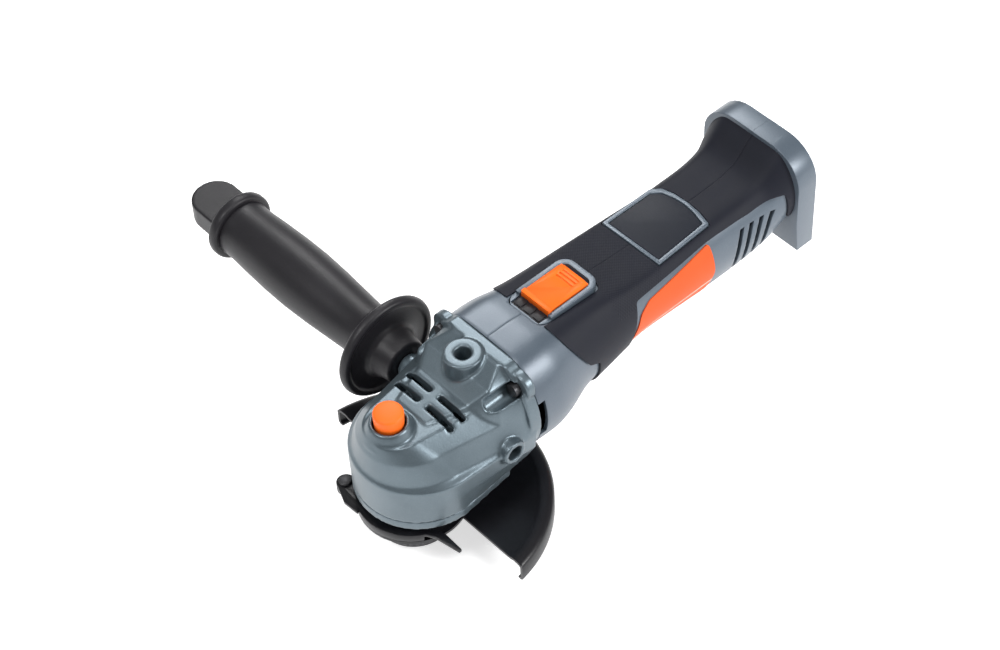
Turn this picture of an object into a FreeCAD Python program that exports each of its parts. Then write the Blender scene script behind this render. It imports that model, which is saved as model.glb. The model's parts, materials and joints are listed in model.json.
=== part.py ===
import FreeCAD, Part
import Sketcher
import math
import os

# Cordless angle grinder for 125 mm discs, drawn without its battery and without a disc.
# Frame, in millimetres: the origin is on the spindle axis, in the face of the inner flange that
# the disc seats on. +Z is up, +X runs back along the body, and +Y is the side of the handle.

SIZES = [
    # gear head
    ("head_bottom", 16, "underside of the bearing cover flange"),
    ("cover_flange", 5, "thickness of the bearing cover flange"),
    ("nose_radius", 34, "plan radius of the nose at its foot"),
    ("nose_centre", 7, "centre of the nose radius, behind the spindle"),
    ("head_half_width", 37, "half width of the head where it meets the flange"),
    ("crease_height", 45, "height where the flanks start to lean in"),
    ("shoulder_height", 57, "height of the shoulder edge"),
    ("deck_height", 69, "deck round the lock button"),
    ("back_deck", 64.5, "lower deck behind the lock button"),
    ("flange_front", 45, "front face of the rear flange"),
    ("joint_x", 52, "joint face of gear case and body"),
    ("joint_radius", 36.6, "radius of the body at the joint"),
    ("joint_centre", 48, "height of that radius's centre"),
    ("joint_top", 79, "flat top of the body at the joint"),
    ("ear_y", 25.5, "case screws, from the middle"),
    ("ear_rise", 20.5, "case screws, above and below the joint's centre"),
    ("ear_radius", 4.2, "screw ear, below"),
    ("top_ear_radius", 8, "screw ear, on top"),
    ("side_boss_radius", 6.5, "side handle bosses"),
    ("boss_x", 37, "top handle boss"),
    ("boss_top", 80.3, "face of the top handle boss"),
    ("boss_radius", 9.6, "top handle boss"),
    # spindle line
    ("thread_radius", 7, "spindle thread, M14"),
    ("thread_end", 17, "length of spindle below the disc seat"),
    ("seat_step", 4.2, "height of the step that the inner flange rests on"),
    ("step_radius", 9.5, "step"),
    ("journal_radius", 7.5, "lower bearing journal"),
    ("gear_seat_radius", 5.5, "gear seat"),
    ("top_journal_radius", 4, "upper journal"),
    ("spindle_top", 61, "top of the spindle"),
    ("low_bearing_z", 8, "underside of the lower bearing"),
    ("low_bearing_width", 11, "lower bearing"),
    ("low_bearing_radius", 17.5, "lower bearing, outside"),
    ("bush_radius", 5, "upper bush, outside"),
    ("bush_bottom", 52, "upper bush"),
    ("neck_radius", 20.3, "neck that carries the guard"),
    ("neck_bottom", 5, "underside of the neck"),
    ("flange_radius", 19.4, "inner flange"),
    ("pilot_radius", 11.1, "disc pilot"),
    ("pilot_height", 1.6, "disc pilot"),
    ("nut_radius", 19, "clamp nut"),
    ("nut_height", 6, "clamp nut"),
    ("nut_gap", 6.5, "clamp nut below the disc seat"),
    # bevel pair
    ("motor_z", 51, "motor axis, which meets the spindle axis"),
    ("gear_teeth", 33, "driven gear"),
    ("pinion_teeth", 11, "pinion"),
    ("gear_pitch_radius", 20.4, "driven gear at its heel"),
    ("face_width", 6, "teeth"),
    ("hub_top", 46.3, "top face of the gear's hub"),
    ("hub_radius", 13, "gear hub"),
    # lock button
    ("button_x", 9.5, "lock button, ahead of the spindle"),
    ("button_radius", 7.7, "lock button"),
    ("button_top", 76.6, "lock button at rest"),
    ("button_skirt", 2.4, "lock button, below the deck at rest"),
    ("button_travel", 4.5, "lock button"),
    ("lock_spring_radius", 3.2, "lock spring, middle of the wire"),
    ("lock_spring_length", 10.6, "lock spring at rest"),
    ("lock_radius", 2.2, "lock pin"),
    ("lock_gap", 1.5, "lock pin above the hub at rest"),
    ("lock_depth", 4.5, "lock holes in the hub"),
    # motor
    ("can_radius", 19.5, "motor can"),
    ("can_front", 74, "motor can"),
    ("can_length", 32, "motor can"),
    ("can_wall", 1.5, "motor can"),
    ("magnet_thick", 3, "magnets"),
    ("air_gap", 0.6, "between magnets and armature"),
    ("rotor_front", 80, "armature"),
    ("rotor_length", 20, "armature"),
    ("shaft_radius", 4, "motor shaft"),
    ("commutator_front", 105.5, "commutator"),
    ("commutator_length", 7.5, "commutator"),
    ("commutator_radius", 8.5, "commutator"),
    ("brush_length", 4.5, "brushes"),
    ("front_bearing_x", 38, "front motor bearing"),
    ("rear_bearing_x", 115, "rear motor bearing"),
    ("bearing_radius", 11, "motor bearings, outside"),
    ("bearing_width", 7, "motor bearings"),
    ("fan_radius", 26, "fan"),
    ("fan_x", 57, "front of the fan"),
    ("fan_depth", 10, "fan"),
    # body
    ("grip_front", 77, "front edge of the soft grip"),
    ("waist_radius", 28.3, "body behind the motor"),
    ("waist_centre", 52, "height of the waist's centre"),
    ("body_end", 231, "front face of the rear flange"),
    ("shell_wall", 2, "shell wall"),
    ("skin", 1.2, "soft grip skin"),
    ("window_front", 119, "bare side of the shells, below the grip"),
    ("window_back", 227, "bare side of the shells"),
    ("window_top", 65, "bare side of the shells"),
    ("window_bottom", 33, "bare side of the shells"),
    ("panel_front", 125, "side panel"),
    ("panel_back", 176, "side panel"),
    ("panel_bottom", 41, "side panel"),
    ("panel_proud", 0.5, "side panel, above the shell"),
    ("pad_front", 147, "pad"),
    ("pad_length", 34, "pad"),
    ("pad_half_width", 18, "pad"),
    ("pad_top", 72.7, "pad"),
    ("pad_depth", 1.8, "pad"),
    ("pad_rim", 1.5, "frame round the pad"),
    # power switch
    ("knob_front", 83, "slide knob at rest"),
    ("knob_length", 26, "slide knob"),
    ("knob_half_width", 9.2, "slide knob"),
    ("knob_top", 79.5, "slide knob"),
    ("knob_travel", 6, "slide knob, forward"),
    ("bezel_front", 74.5, "bezel of the slide knob"),
    ("bezel_length", 40, "bezel of the slide knob"),
    ("bezel_half_width", 12.4, "bezel of the slide knob"),
    ("bezel_bottom", 74.5, "bezel of the slide knob"),
    ("bezel_top", 78.3, "bezel of the slide knob"),
    ("channel_floor", 76.3, "floor that the knob slides over"),
    ("link_top", 71.8, "link between knob and switch"),
    ("link_thick", 1, "link"),
    ("link_drop", 8, "link, down to the switch"),
    ("link_foot", 132, "where the link levels out again"),
    ("switch_front", 150, "switch module"),
    # guard
    ("guard_radius", 68, "guard"),
    ("guard_top", 4.5, "top face of the guard plate"),
    ("sheet", 1.5, "guard sheet"),
    ("guard_cut", 9, "straight edge of the guard, behind the spindle"),
    ("skirt_bottom", 6.5, "guard skirt, below the disc seat"),
    ("lip", 3, "inward lip of the skirt"),
    ("collar_wall", 1.8, "guard collar"),
    ("collar_top", 12.6, "guard collar"),
    ("lever_x", 20, "lever pin, ahead of the spindle"),
    ("lever_y", 26, "lever pin, to the handle's side"),
    ("lever_width", 5.5, "lever"),
    ("lever_bottom", 8, "underside of the lever"),
    ("lever_thick", 2, "lever"),
    # side handle
    ("handle_x", 33.3, "side handle axis"),
    ("handle_z", 42.8, "side handle axis"),
    ("handle_face", 38.5, "face of the side handle bosses"),
    ("stud_radius", 4, "handle stud, M8"),
    ("stud_depth", 14, "engaged thread"),
    ("hand_guard_y", 52.7, "hand guard of the handle"),
    ("hand_guard_radius", 28.5, "hand guard of the handle"),
    ("ring_y", 168, "collar ring of the handle"),
    ("handle_end", 199, "end of the handle"),
    ("tab_radius", 12.5, "round end tab"),
    ("tab_thick", 13, "end tab"),
    # rear flange and battery socket
    ("rear_thick", 12, "rear flange"),
    ("rear_half_width", 32.8, "rear flange"),
    ("rear_top", 90.5, "rear flange"),
    ("rear_corner", 20, "rear flange, top corners"),
    ("rear_bottom", 28, "rear flange"),
    ("socket_depth", 9, "battery socket"),
    ("socket_half_width", 25, "battery socket"),
    ("socket_top", 78, "battery socket"),
    ("rail_width", 4, "battery rail"),
    ("rail_thick", 2.5, "battery rail"),
    ("rail_gap", 3.5, "slot behind each battery rail"),
    # fits
    ("running", 0.05, "running fit, on the radius"),
    ("free", 0.4, "free clearance"),
]

doc = FreeCAD.newDocument("angle_grinder")
sheet = doc.addObject("Spreadsheet::Sheet", "sizes")
for row, (alias, value, note) in enumerate(SIZES, start=1):
    sheet.set("A%d" % row, note)
    sheet.set("B%d" % row, str(value))
    sheet.setAlias("B%d" % row, alias)
doc.recompute()

ALIASES = sorted((alias for alias, value, note in SIZES), key=len, reverse=True)
NODES = []


def bind(text):
    """An expression in the sheet's names, as another object has to write it."""
    out, word = "", ""
    for char in str(text) + " ":
        if char.isalnum() or char == "_":
            word += char
            continue
        out += ("sizes." + word if word in ALIASES else word) + char
        word = ""
    return out.strip()


def value(text):
    """The number that an expression in the sheet's names stands for."""
    return float(sheet.evalExpression(str(text)))


def keep(item, label):
    item.Label = label
    NODES.append(item)
    return item


# ---- sketches and features -------------------------------------------------------------------
PLANES = {"X": ("YZ_Plane", 1), "Y": ("XZ_Plane", -1), "Z": ("XY_Plane", 1)}


def new_body(label, x=0, y=0, z=0):
    body = doc.addObject("PartDesign::Body", label)
    for axis, place in zip("xyz", (x, y, z)):
        body.setExpression("Placement.Base." + axis, bind(place))
    return keep(body, label)


def new_sketch(body, axis, at=0):
    """A sketch across the axis X, Y or Z of its body, at that coordinate."""
    role, sign = PLANES[axis]
    plane = [item for item in body.Origin.OriginFeatures if item.Role == role][0]
    sketch = body.newObject("Sketcher::SketchObject", body.Label + "_sketch")
    sketch.AttachmentSupport = [(plane, "")]
    sketch.MapMode = "FlatFace"
    sketch.setExpression("AttachmentOffset.Base.z", bind("%d * (%s)" % (sign, at)))
    return sketch


def fix(sketch, kind, element, point, text):
    """Ties one coordinate of a point, or a radius, to an expression."""
    if kind == "Radius":
        number = sketch.addConstraint(Sketcher.Constraint(kind, element, value(text)))
    else:
        number = sketch.addConstraint(Sketcher.Constraint(kind, -1, 1, element, point, value(text)))
    name = "c%d" % number
    sketch.renameConstraint(number, name)
    sketch.setExpression("Constraints." + name, bind(text))


def polygon(sketch, points):
    spots = [FreeCAD.Vector(value(u), value(v), 0) for u, v in points]
    first = sketch.GeometryCount
    count = len(points)
    for i in range(count):
        sketch.addGeometry(Part.LineSegment(spots[i], spots[(i + 1) % count]), False)
    for i in range(count):
        sketch.addConstraint(Sketcher.Constraint("Coincident", first + i, 2, first + (i + 1) % count, 1))
    for i, (u, v) in enumerate(points):
        fix(sketch, "DistanceX", first + i, 1, u)
        fix(sketch, "DistanceY", first + i, 1, v)


def rectangle(sketch, u0, v0, u1, v1):
    polygon(sketch, [(u0, v0), (u1, v0), (u1, v1), (u0, v1)])


def circle(sketch, u, v, radius):
    centre = FreeCAD.Vector(value(u), value(v), 0)
    item = sketch.addGeometry(Part.Circle(centre, FreeCAD.Vector(0, 0, 1), value(radius)), False)
    fix(sketch, "Radius", item, 0, radius)
    fix(sketch, "DistanceX", item, 3, u)
    fix(sketch, "DistanceY", item, 3, v)


def flat_top(sketch, radius, centre, top):
    """A circle on the middle line whose top is cut off flat."""
    r, c, t = value(radius), value(centre), value(top)
    angle = math.asin((t - c) / r)
    half = r * math.cos(angle)
    round_part = Part.Circle(FreeCAD.Vector(0, c, 0), FreeCAD.Vector(0, 0, 1), r)
    arc = sketch.addGeometry(Part.ArcOfCircle(round_part, math.pi - angle, 2 * math.pi + angle), False)
    flat = Part.LineSegment(FreeCAD.Vector(half, t, 0), FreeCAD.Vector(-half, t, 0))
    line = sketch.addGeometry(flat, False)
    sketch.addConstraint(Sketcher.Constraint("Coincident", arc, 2, line, 1))
    sketch.addConstraint(Sketcher.Constraint("Coincident", line, 2, arc, 1))
    sketch.addConstraint(Sketcher.Constraint("Horizontal", line))
    fix(sketch, "Radius", arc, 0, radius)
    fix(sketch, "DistanceX", arc, 3, 0)
    fix(sketch, "DistanceY", arc, 3, centre)
    fix(sketch, "DistanceY", line, 1, top)


def nose(sketch, centre, radius, rear, half_width):
    """Plan of the gear head: a round nose whose sides run back to a square end."""
    c, r, x, w = value(centre), value(radius), value(rear), value(half_width)
    round_part = Part.Circle(FreeCAD.Vector(c, 0, 0), FreeCAD.Vector(0, 0, 1), r)
    arc = sketch.addGeometry(Part.ArcOfCircle(round_part, math.pi / 2, 3 * math.pi / 2), False)
    corners = [(c, -r), (x, -w), (x, w), (c, r)]
    for start, end in zip(corners, corners[1:]):
        line = Part.LineSegment(FreeCAD.Vector(*start, 0), FreeCAD.Vector(*end, 0))
        sketch.addGeometry(line, False)
    for i in range(4):
        sketch.addConstraint(Sketcher.Constraint("Coincident", arc + i, 2, arc + (i + 1) % 4, 1))
    fix(sketch, "Radius", arc, 0, radius)
    fix(sketch, "DistanceX", arc, 3, centre)
    fix(sketch, "DistanceY", arc, 3, 0)
    fix(sketch, "DistanceX", arc, 1, centre)
    fix(sketch, "DistanceX", arc, 2, centre)
    fix(sketch, "DistanceX", arc + 2, 1, rear)
    fix(sketch, "DistanceY", arc + 2, 1, "-(%s)" % half_width)
    fix(sketch, "DistanceX", arc + 2, 2, rear)
    fix(sketch, "DistanceY", arc + 2, 2, half_width)


def feature(body, kind, sketch, **settings):
    item = body.newObject("PartDesign::" + kind, body.Label + "_" + kind.lower())
    item.Profile = sketch
    for name, setting in settings.items():
        setattr(item, name, setting)
    return item


def pad(body, sketch, length, way=1):
    """Adds the sketch's outline, towards the axis's plus end (way 1) or minus end (way -1)."""
    normal = 1 if sketch.AttachmentSupport[0][0].Role != "XZ_Plane" else -1
    item = feature(body, "Pad", sketch, Reversed=(way != normal))
    item.setExpression("Length", bind(length))
    return item


def pocket(body, sketch, length, way=-1):
    """Cuts the sketch's outline out, and makes sure that it did."""
    normal = 1 if sketch.AttachmentSupport[0][0].Role != "XZ_Plane" else -1
    before = body.Tip
    doc.recompute()
    volume = before.Shape.Volume
    item = feature(body, "Pocket", sketch, Reversed=(way == normal))
    item.setExpression("Length", bind(length))
    doc.recompute()
    if item.Shape.Volume > volume - 1e-3:
        raise ValueError("a pocket of %s cuts nothing" % body.Label)
    return item


def hole(body, axis, at, spots, radius, depth, way=-1):
    sketch = new_sketch(body, axis, at)
    for u, v in spots:
        circle(sketch, u, v, radius)
    return pocket(body, sketch, depth, way)


def block(body, axis, at, corners, length, way=1):
    sketch = new_sketch(body, axis, at)
    rectangle(sketch, *corners)
    return pad(body, sketch, length, way)


def opening(body, axis, at, corners, depth, way=-1):
    sketch = new_sketch(body, axis, at)
    rectangle(sketch, *corners)
    return pocket(body, sketch, depth, way)


def revolve(body, axis, profile, kind="Revolution"):
    """Turns a profile of (along, radius) points about the body's X, Y or Z axis."""
    sketch = new_sketch(body, "Z" if axis == "Y" else "Y")
    if axis == "X":
        polygon(sketch, profile)
    else:
        polygon(sketch, [(radius, along) for along, radius in profile])
    name = "H_Axis" if axis == "X" else "V_Axis"
    return feature(body, kind, sketch, ReferenceAxis=(sketch, [name]), Angle=360)


def turned(label, axis, profile, x=0, y=0, z=0):
    body = new_body(label, x, y, z)
    revolve(body, axis, profile)
    return body


def ring(label, axis, start, length, inner, outer, x=0, y=0, z=0):
    end = "%s + %s" % (start, length)
    return turned(label, axis, [(start, inner), (end, inner), (end, outer), (start, outer)], x, y, z)


def repeat(body, item, axis, count):
    """Copies a feature round the body's own axis."""
    line = [one for one in body.Origin.OriginFeatures if one.Role == axis + "_Axis"][0]
    pattern = body.newObject("PartDesign::PolarPattern", body.Label + "_pattern")
    pattern.Originals = [item]
    pattern.Axis = (line, [""])
    pattern.Angle = 360
    pattern.Occurrences = count
    body.Tip = pattern
    return pattern


def loft(body, sketches, cut=False):
    """Joins a row of outlines with flat-sided skins."""
    kind = "SubtractiveLoft" if cut else "AdditiveLoft"
    return feature(body, kind, sketches[0], Sections=sketches[1:], Ruled=True)


# ---- primitives --------------------------------------------------------------------------------
def cylinder(radius, length, x, y, z, way=(0, 0, 1)):
    item = doc.addObject("Part::Cylinder", "rod")
    item.setExpression("Radius", bind(radius))
    item.setExpression("Height", bind(length))
    item.Placement.Rotation = FreeCAD.Rotation(FreeCAD.Vector(0, 0, 1), FreeCAD.Vector(*way))
    for axis, place in zip("xyz", (x, y, z)):
        item.setExpression("Placement.Base." + axis, bind(place))
    return item


def box(sizes, x, y, z):
    item = doc.addObject("Part::Box", "block")
    for name, size in zip(("Length", "Width", "Height"), sizes):
        item.setExpression(name, bind(size))
    for axis, place in zip("xyz", (x, y, z)):
        item.setExpression("Placement.Base." + axis, bind(place))
    return item


def fused(parts):
    item = doc.addObject("Part::MultiFuse", "joined")
    item.Shapes = parts
    return item


def cut(base, tool):
    item = doc.addObject("Part::Cut", "cut")
    item.Base = base
    item.Tool = tool
    return item


def tube(inner, outer, length, x, y, z, way=(0, 0, 1)):
    return cut(cylinder(outer, length, x, y, z, way), cylinder(inner, length, x, y, z, way))


def group(label, parts):
    item = doc.addObject("Part::Compound", label)
    item.Links = parts
    return keep(item, label)


def screws(label, spots, way, head, head_height, shank, length):
    """Cap screws: each spot is the underside of a head, and the shank runs along way."""
    parts = []
    for spot in spots:
        body = cylinder(shank, length, *spot, way)
        cap = cylinder(head, head_height, *spot, [-one for one in way])
        parts.append(fused([body, cap]))
    return group(label, parts)


# ---- gear case -----------------------------------------------------------------------------------
EARS = [("ear_y", "joint_centre + ear_rise"), ("-ear_y", "joint_centre + ear_rise"),
        ("ear_y", "joint_centre - ear_rise"), ("-ear_y", "joint_centre - ear_rise")]
case_bottom = "head_bottom + cover_flange"

gear_case = new_body("gear_case")
head_sections = []
for height, centre, radius, half in [
        (case_bottom, "nose_centre - 1", "nose_radius - 1", "head_half_width - 7"),
        ("crease_height - 12", "nose_centre", "nose_radius", "head_half_width - 1"),
        ("crease_height - 2", "nose_centre", "nose_radius", "head_half_width"),
        ("crease_height", "nose_centre - 2", "nose_radius - 3.5", "head_half_width"),
        ("shoulder_height", "nose_centre - 7.5", "nose_radius - 10.5", "head_half_width - 4"),
        ("back_deck", "nose_centre - 13", "nose_radius - 18.5", "head_half_width - 14")]:
    section = new_sketch(gear_case, "Z", height)
    nose(section, centre, radius, "flange_front + 3.5", half)
    head_sections.append(section)
loft(gear_case, head_sections)

dome_sections = []
for x, radius, centre, top in [
        ("4", "18", "joint_centre + 2", "back_deck + 0.6"),
        ("24", "25", "joint_centre", "back_deck + 2"),
        ("boss_x - 4", "30.5", "joint_centre + 4", "back_deck + 9"),
        ("flange_front", "joint_radius - 2.5", "joint_centre", "joint_top - 0.5")]:
    section = new_sketch(gear_case, "X", x)
    flat_top(section, radius, centre, top)
    dome_sections.append(section)
loft(gear_case, dome_sections)

flange = new_sketch(gear_case, "X", "flange_front")
flat_top(flange, "joint_radius", "joint_centre", "joint_top")
pad(gear_case, flange, "joint_x - flange_front")
ears = new_sketch(gear_case, "X", "flange_front + 2")
for y, z in EARS:
    circle(ears, y, z, "top_ear_radius" if "+" in z else "ear_radius")
pad(gear_case, ears, "joint_x - flange_front - 2")
top_boss = new_sketch(gear_case, "Z", "back_deck")
circle(top_boss, "boss_x", 0, "boss_radius")
pad(gear_case, top_boss, "boss_top - back_deck")
block(gear_case, "Z", "back_deck", ("boss_x", "2 - boss_radius", "flange_front + 1", "boss_radius - 2"),
      "joint_top - back_deck")
for way in (1, -1):
    side_boss = new_sketch(gear_case, "Y", "%d * handle_face" % way)
    circle(side_boss, "handle_x", "handle_z", "side_boss_radius")
    pad(gear_case, side_boss, "handle_face - head_half_width + 9", -way)

# the lock button's turret, on a sloping foot
turret_foot = new_sketch(gear_case, "Z", "back_deck - 4")
circle(turret_foot, "-button_x", 0, "button_radius + 6")
turret_rim = new_sketch(gear_case, "Z", "deck_height")
circle(turret_rim, "-button_x", 0, "button_radius + 2.2")
loft(gear_case, [turret_foot, turret_rim])
turret = new_sketch(gear_case, "Z", "deck_height - 1")
circle(turret, "-button_x", 0, "button_radius + 1.4")
pad(gear_case, turret, 1.8)

# nothing of the case hangs beside the bearing cover
opening(gear_case, "Z", case_bottom,
        (-50, "-head_half_width - 5", "boss_x + free", "head_half_width + 5"), 20)

# scallops for the heads of the case screws
scallops = new_sketch(gear_case, "X", "flange_front + 2")
for y, z in EARS:
    circle(scallops, y, z, "ear_radius + 0.5")
pocket(gear_case, scallops, 18)
hole(gear_case, "X", "joint_x", EARS, 2.05, 12)

# gear chamber, pinion chamber and the seats in line with them
hole(gear_case, "Z", case_bottom, [(0, 0)], "gear_pitch_radius + 2.1", "hub_top + 2 - (%s)" % case_bottom, 1)
hole(gear_case, "X", "front_bearing_x", [(0, "motor_z")], 9.4, "front_bearing_x - 10.5")
hole(gear_case, "X", "joint_x", [(0, "motor_z")], "bearing_radius", "joint_x - front_bearing_x")
hole(gear_case, "Z", "hub_top + 1", [(0, 0)], "bush_radius", "spindle_top + 1 - hub_top", 1)

# lock button: a well for the button, a spring seat and a bore for its pin
hole(gear_case, "Z", "button_top", [("-button_x", 0)], "button_radius + 0.3",
     "button_top - deck_height + button_skirt + button_travel + free")
hole(gear_case, "Z", "deck_height", [("-button_x", 0)], "lock_radius + running", "deck_height - hub_top")
hole(gear_case, "Z", "deck_height", [("-button_x", 0)], "lock_spring_radius + 0.8",
     "button_skirt + lock_spring_length")

# threads for the handle: one on each side and one on top
for way in (1, -1):
    hole(gear_case, "Y", "%d * (handle_face + 1)" % way, [("handle_x", "handle_z")],
         "stud_radius + running", "stud_depth + 1", -way)
hole(gear_case, "Z", "boss_top + 1", [("boss_x", 0)], "stud_radius + running", "12")

# air ducts from the fan to the slots in the dome
for way in (1, -1):
    opening(gear_case, "X", "joint_x", (10.5 * way, 54, 19 * way, 60.5), "joint_x - 9.5")
for x in (9.5, 17):
    for way in (1, -1):
        opening(gear_case, "Z", "boss_top + 1", (x, 2.5 * way, x + 3.2, 20 * way), "boss_top + 1 - 58")

# screws of the bearing cover come up into these
COVER_SPOTS = [(-13.5, -21), (-13.5, 21), (31, -25.5), (31, 25.5)]
hole(gear_case, "Z", case_bottom, COVER_SPOTS, 1.8, 10, 1)

# ---- bearing cover with the neck that the guard turns on --------------------------------------------
bearing_cover = new_body("bearing_cover")
cover_plan = new_sketch(bearing_cover, "Z", "head_bottom")
nose(cover_plan, "nose_centre - 1", "nose_radius - 1", "boss_x", "head_half_width - 7")
pad(bearing_cover, cover_plan, "cover_flange")
neck = new_sketch(bearing_cover, "Z", "neck_bottom")
circle(neck, 0, 0, "neck_radius")
pad(bearing_cover, neck, "head_bottom - neck_bottom")
hole(bearing_cover, "Z", case_bottom, [(0, 0)], "low_bearing_radius", "%s - low_bearing_z" % case_bottom)
hole(bearing_cover, "Z", "low_bearing_z", [(0, 0)], "step_radius + free", "low_bearing_z - neck_bottom")
hole(bearing_cover, "Z", case_bottom, COVER_SPOTS, 2.1, "cover_flange")
hole(bearing_cover, "Z", "head_bottom + 2.4", COVER_SPOTS, 3.6, 2.4)

screws("cover_screws", [(x, y, "head_bottom + 2.4") for x, y in COVER_SPOTS], (0, 0, 1), 3.4, 2.2, 1.8, 12)
screws("case_screws", [("flange_front + 2", y, z) for y, z in EARS], (1, 0, 0), 3.5, 3.2, 2.05, 20)

# ---- spindle line ---------------------------------------------------------------------------------
seat_top = "low_bearing_z + low_bearing_width"
spindle = turned("spindle", "Z", [
    ("-thread_end", 0), ("-thread_end", "thread_radius - 1"), ("1 - thread_end", "thread_radius"),
    ("seat_step", "thread_radius"), ("seat_step", "step_radius"), ("low_bearing_z", "step_radius"),
    ("low_bearing_z", "journal_radius"), (seat_top, "journal_radius"), (seat_top, "gear_seat_radius"),
    ("hub_top + 0.1", "gear_seat_radius"), ("hub_top + 0.1", "gear_seat_radius - 0.6"),
    ("hub_top + 1.1", "gear_seat_radius - 0.6"), ("hub_top + 1.1", "gear_seat_radius"),
    ("hub_top + 2", "gear_seat_radius"), ("hub_top + 2", "top_journal_radius"),
    ("spindle_top", "top_journal_radius"), ("spindle_top", 0)])
opening(spindle, "Z", "hub_top + 0.1", ("gear_seat_radius - 1.5", -1.5, "gear_seat_radius + 1", 1.5), 12)
for way in (1, -1):
    flat_start, flat_end = "%d * (thread_radius - 1)" % way, "%d * (thread_radius + 1)" % way
    opening(spindle, "Z", "seat_step", (flat_start, -9, flat_end, 9), "seat_step")

key = new_body("spindle_key")
block(key, "Z", "hub_top + 0.1 - 12", ("gear_seat_radius - 1.5", -1.5, "gear_seat_radius + 1.2", 1.5), 12)
ring("gear_circlip", "Z", "hub_top + 0.15", "0.9", "gear_seat_radius - 0.6", "gear_seat_radius + 1.2")

ring("spindle_bearing_outer", "Z", "low_bearing_z", "low_bearing_width",
     "low_bearing_radius - 2.6", "low_bearing_radius")
ring("spindle_bearing_inner", "Z", "low_bearing_z", "low_bearing_width",
     "journal_radius", "journal_radius + 2.4")


def ball_ring(count, track, radius, x, y, z, axis):
    """Bearing balls in a ring round a spindle (Z) or a motor shaft (X)."""
    parts = []
    for i in range(count):
        turn = 2 * math.pi * i / count
        one = doc.addObject("Part::Sphere", "ball")
        one.setExpression("Radius", bind(radius))
        across = "(%s) * %.6f" % (track, math.cos(turn))
        along = "(%s) * %.6f" % (track, math.sin(turn))
        place = (across, along, z) if axis == "Z" else (x, across, "%s + %s" % (z, along))
        for name, text in zip("xyz", place):
            one.setExpression("Placement.Base." + name, bind(text))
        parts.append(one)
    return parts


low_track = "(journal_radius + low_bearing_radius - 0.2) / 2"
group("spindle_bearing_balls", ball_ring(
    9, low_track, "(low_bearing_radius - journal_radius - 5) / 2 - running",
    0, 0, "low_bearing_z + low_bearing_width / 2", "Z"))
ring("upper_bush", "Z", "bush_bottom", "spindle_top + 0.4 - bush_bottom",
     "top_journal_radius + running", "bush_radius")

# ---- inner flange and clamp nut ---------------------------------------------------------------------
turned("inner_flange", "Z", [
    ("-pilot_height", "thread_radius + running"), ("-pilot_height", "pilot_radius"), (0, "pilot_radius"),
    (0, "flange_radius"), ("seat_step - 1.6", "flange_radius"), ("seat_step", "flange_radius - 2.4"),
    ("seat_step", "thread_radius + running")])
clamp_nut = turned("clamp_nut", "Z", [
    ("-nut_gap", "thread_radius + running"), ("-nut_gap", "nut_radius"),
    ("1.6 - nut_gap - nut_height", "nut_radius"), ("-nut_gap - nut_height", "nut_radius - 1.6"),
    ("-nut_gap - nut_height", "thread_radius + running")])
hole(clamp_nut, "Z", "-nut_gap - nut_height", [(14.5, 0), (-14.5, 0), (0, 14.5), (0, -14.5)], 2.6, 3.5, 1)

# ---- bevel gears --------------------------------------------------------------------------------------


def bevel(label, teeth, pitch_radius, cone_length, hub, phase, place):
    """A straight bevel gear whose pitch cone has its tip at the origin and opens along +Z.

    Each tooth is a tapered bar: its outline at the heel, scaled towards the tip of the cone.
    """
    half_cone = math.asin(pitch_radius / cone_length)
    module = 2 * pitch_radius / teeth
    face = value("face_width")
    toe = (cone_length - face) / cone_length
    tall, deep = 0.85 * module, 1.15 * module

    def on_cone(rise, side):
        # a point at the heel: rise is square to the pitch cone, side runs round it
        height = cone_length * math.cos(half_cone) - rise * math.sin(half_cone)
        radius = pitch_radius + rise * math.cos(half_cone)
        return FreeCAD.Vector(radius, side, height)

    def tooth(turn):
        heel = [on_cone(-deep, -0.46 * module), on_cone(-deep, 0.46 * module),
                on_cone(0, 0.34 * module), on_cone(tall, 0.13 * module),
                on_cone(tall, -0.13 * module), on_cone(0, -0.34 * module)]
        spots = FreeCAD.Rotation(FreeCAD.Vector(0, 0, 1), math.degrees(turn))
        heel = [spots.multVec(one) * 1.0 for one in heel]
        outlines = []
        for scale in (1, toe):
            ends = [one * scale for one in heel]
            outlines.append(Part.makePolygon(ends + ends[:1]))
        return Part.makeLoft(outlines, True, True)

    root = [on_cone(-deep + 0.25, 0), on_cone(-deep + 0.25, 0) * toe]
    rim = [FreeCAD.Vector(one.x, 0, one.z) for one in root]
    blank_points = [rim[1]] + hub(rim) + [rim[0]]
    blank = Part.Face(Part.makePolygon(blank_points + blank_points[:1]))
    blank = blank.revolve(FreeCAD.Vector(0, 0, 0), FreeCAD.Vector(0, 0, 1), 360)
    shape = blank.multiFuse([tooth(phase + 2 * math.pi * i / teeth) for i in range(int(teeth))])
    item = doc.addObject("Part::Feature", label)
    item.Shape = shape.removeSplitter()
    item.Placement = place
    return keep(item, label)


ratio = value("gear_teeth") / value("pinion_teeth")
pinion_pitch_radius = value("gear_pitch_radius") / ratio
cone_length = math.hypot(value("gear_pitch_radius"), pinion_pitch_radius)
apex = FreeCAD.Vector(0, 0, value("motor_z"))


def gear_hub(rim):
    """The driven gear's bore and hub, below the tip of its cone."""
    tip = value("motor_z")
    top, bottom, back = tip - value("hub_top"), tip - value(seat_top), tip - value("hub_top") + 12
    bore, hub_radius = value("gear_seat_radius"), value("hub_radius")
    points = [(hub_radius, top), (bore, top), (bore, bottom), (hub_radius - 2, bottom),
              (hub_radius - 2, back), (rim[0].x - 0.8, back)]
    return [FreeCAD.Vector(x, 0, z) for x, z in points]


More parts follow.
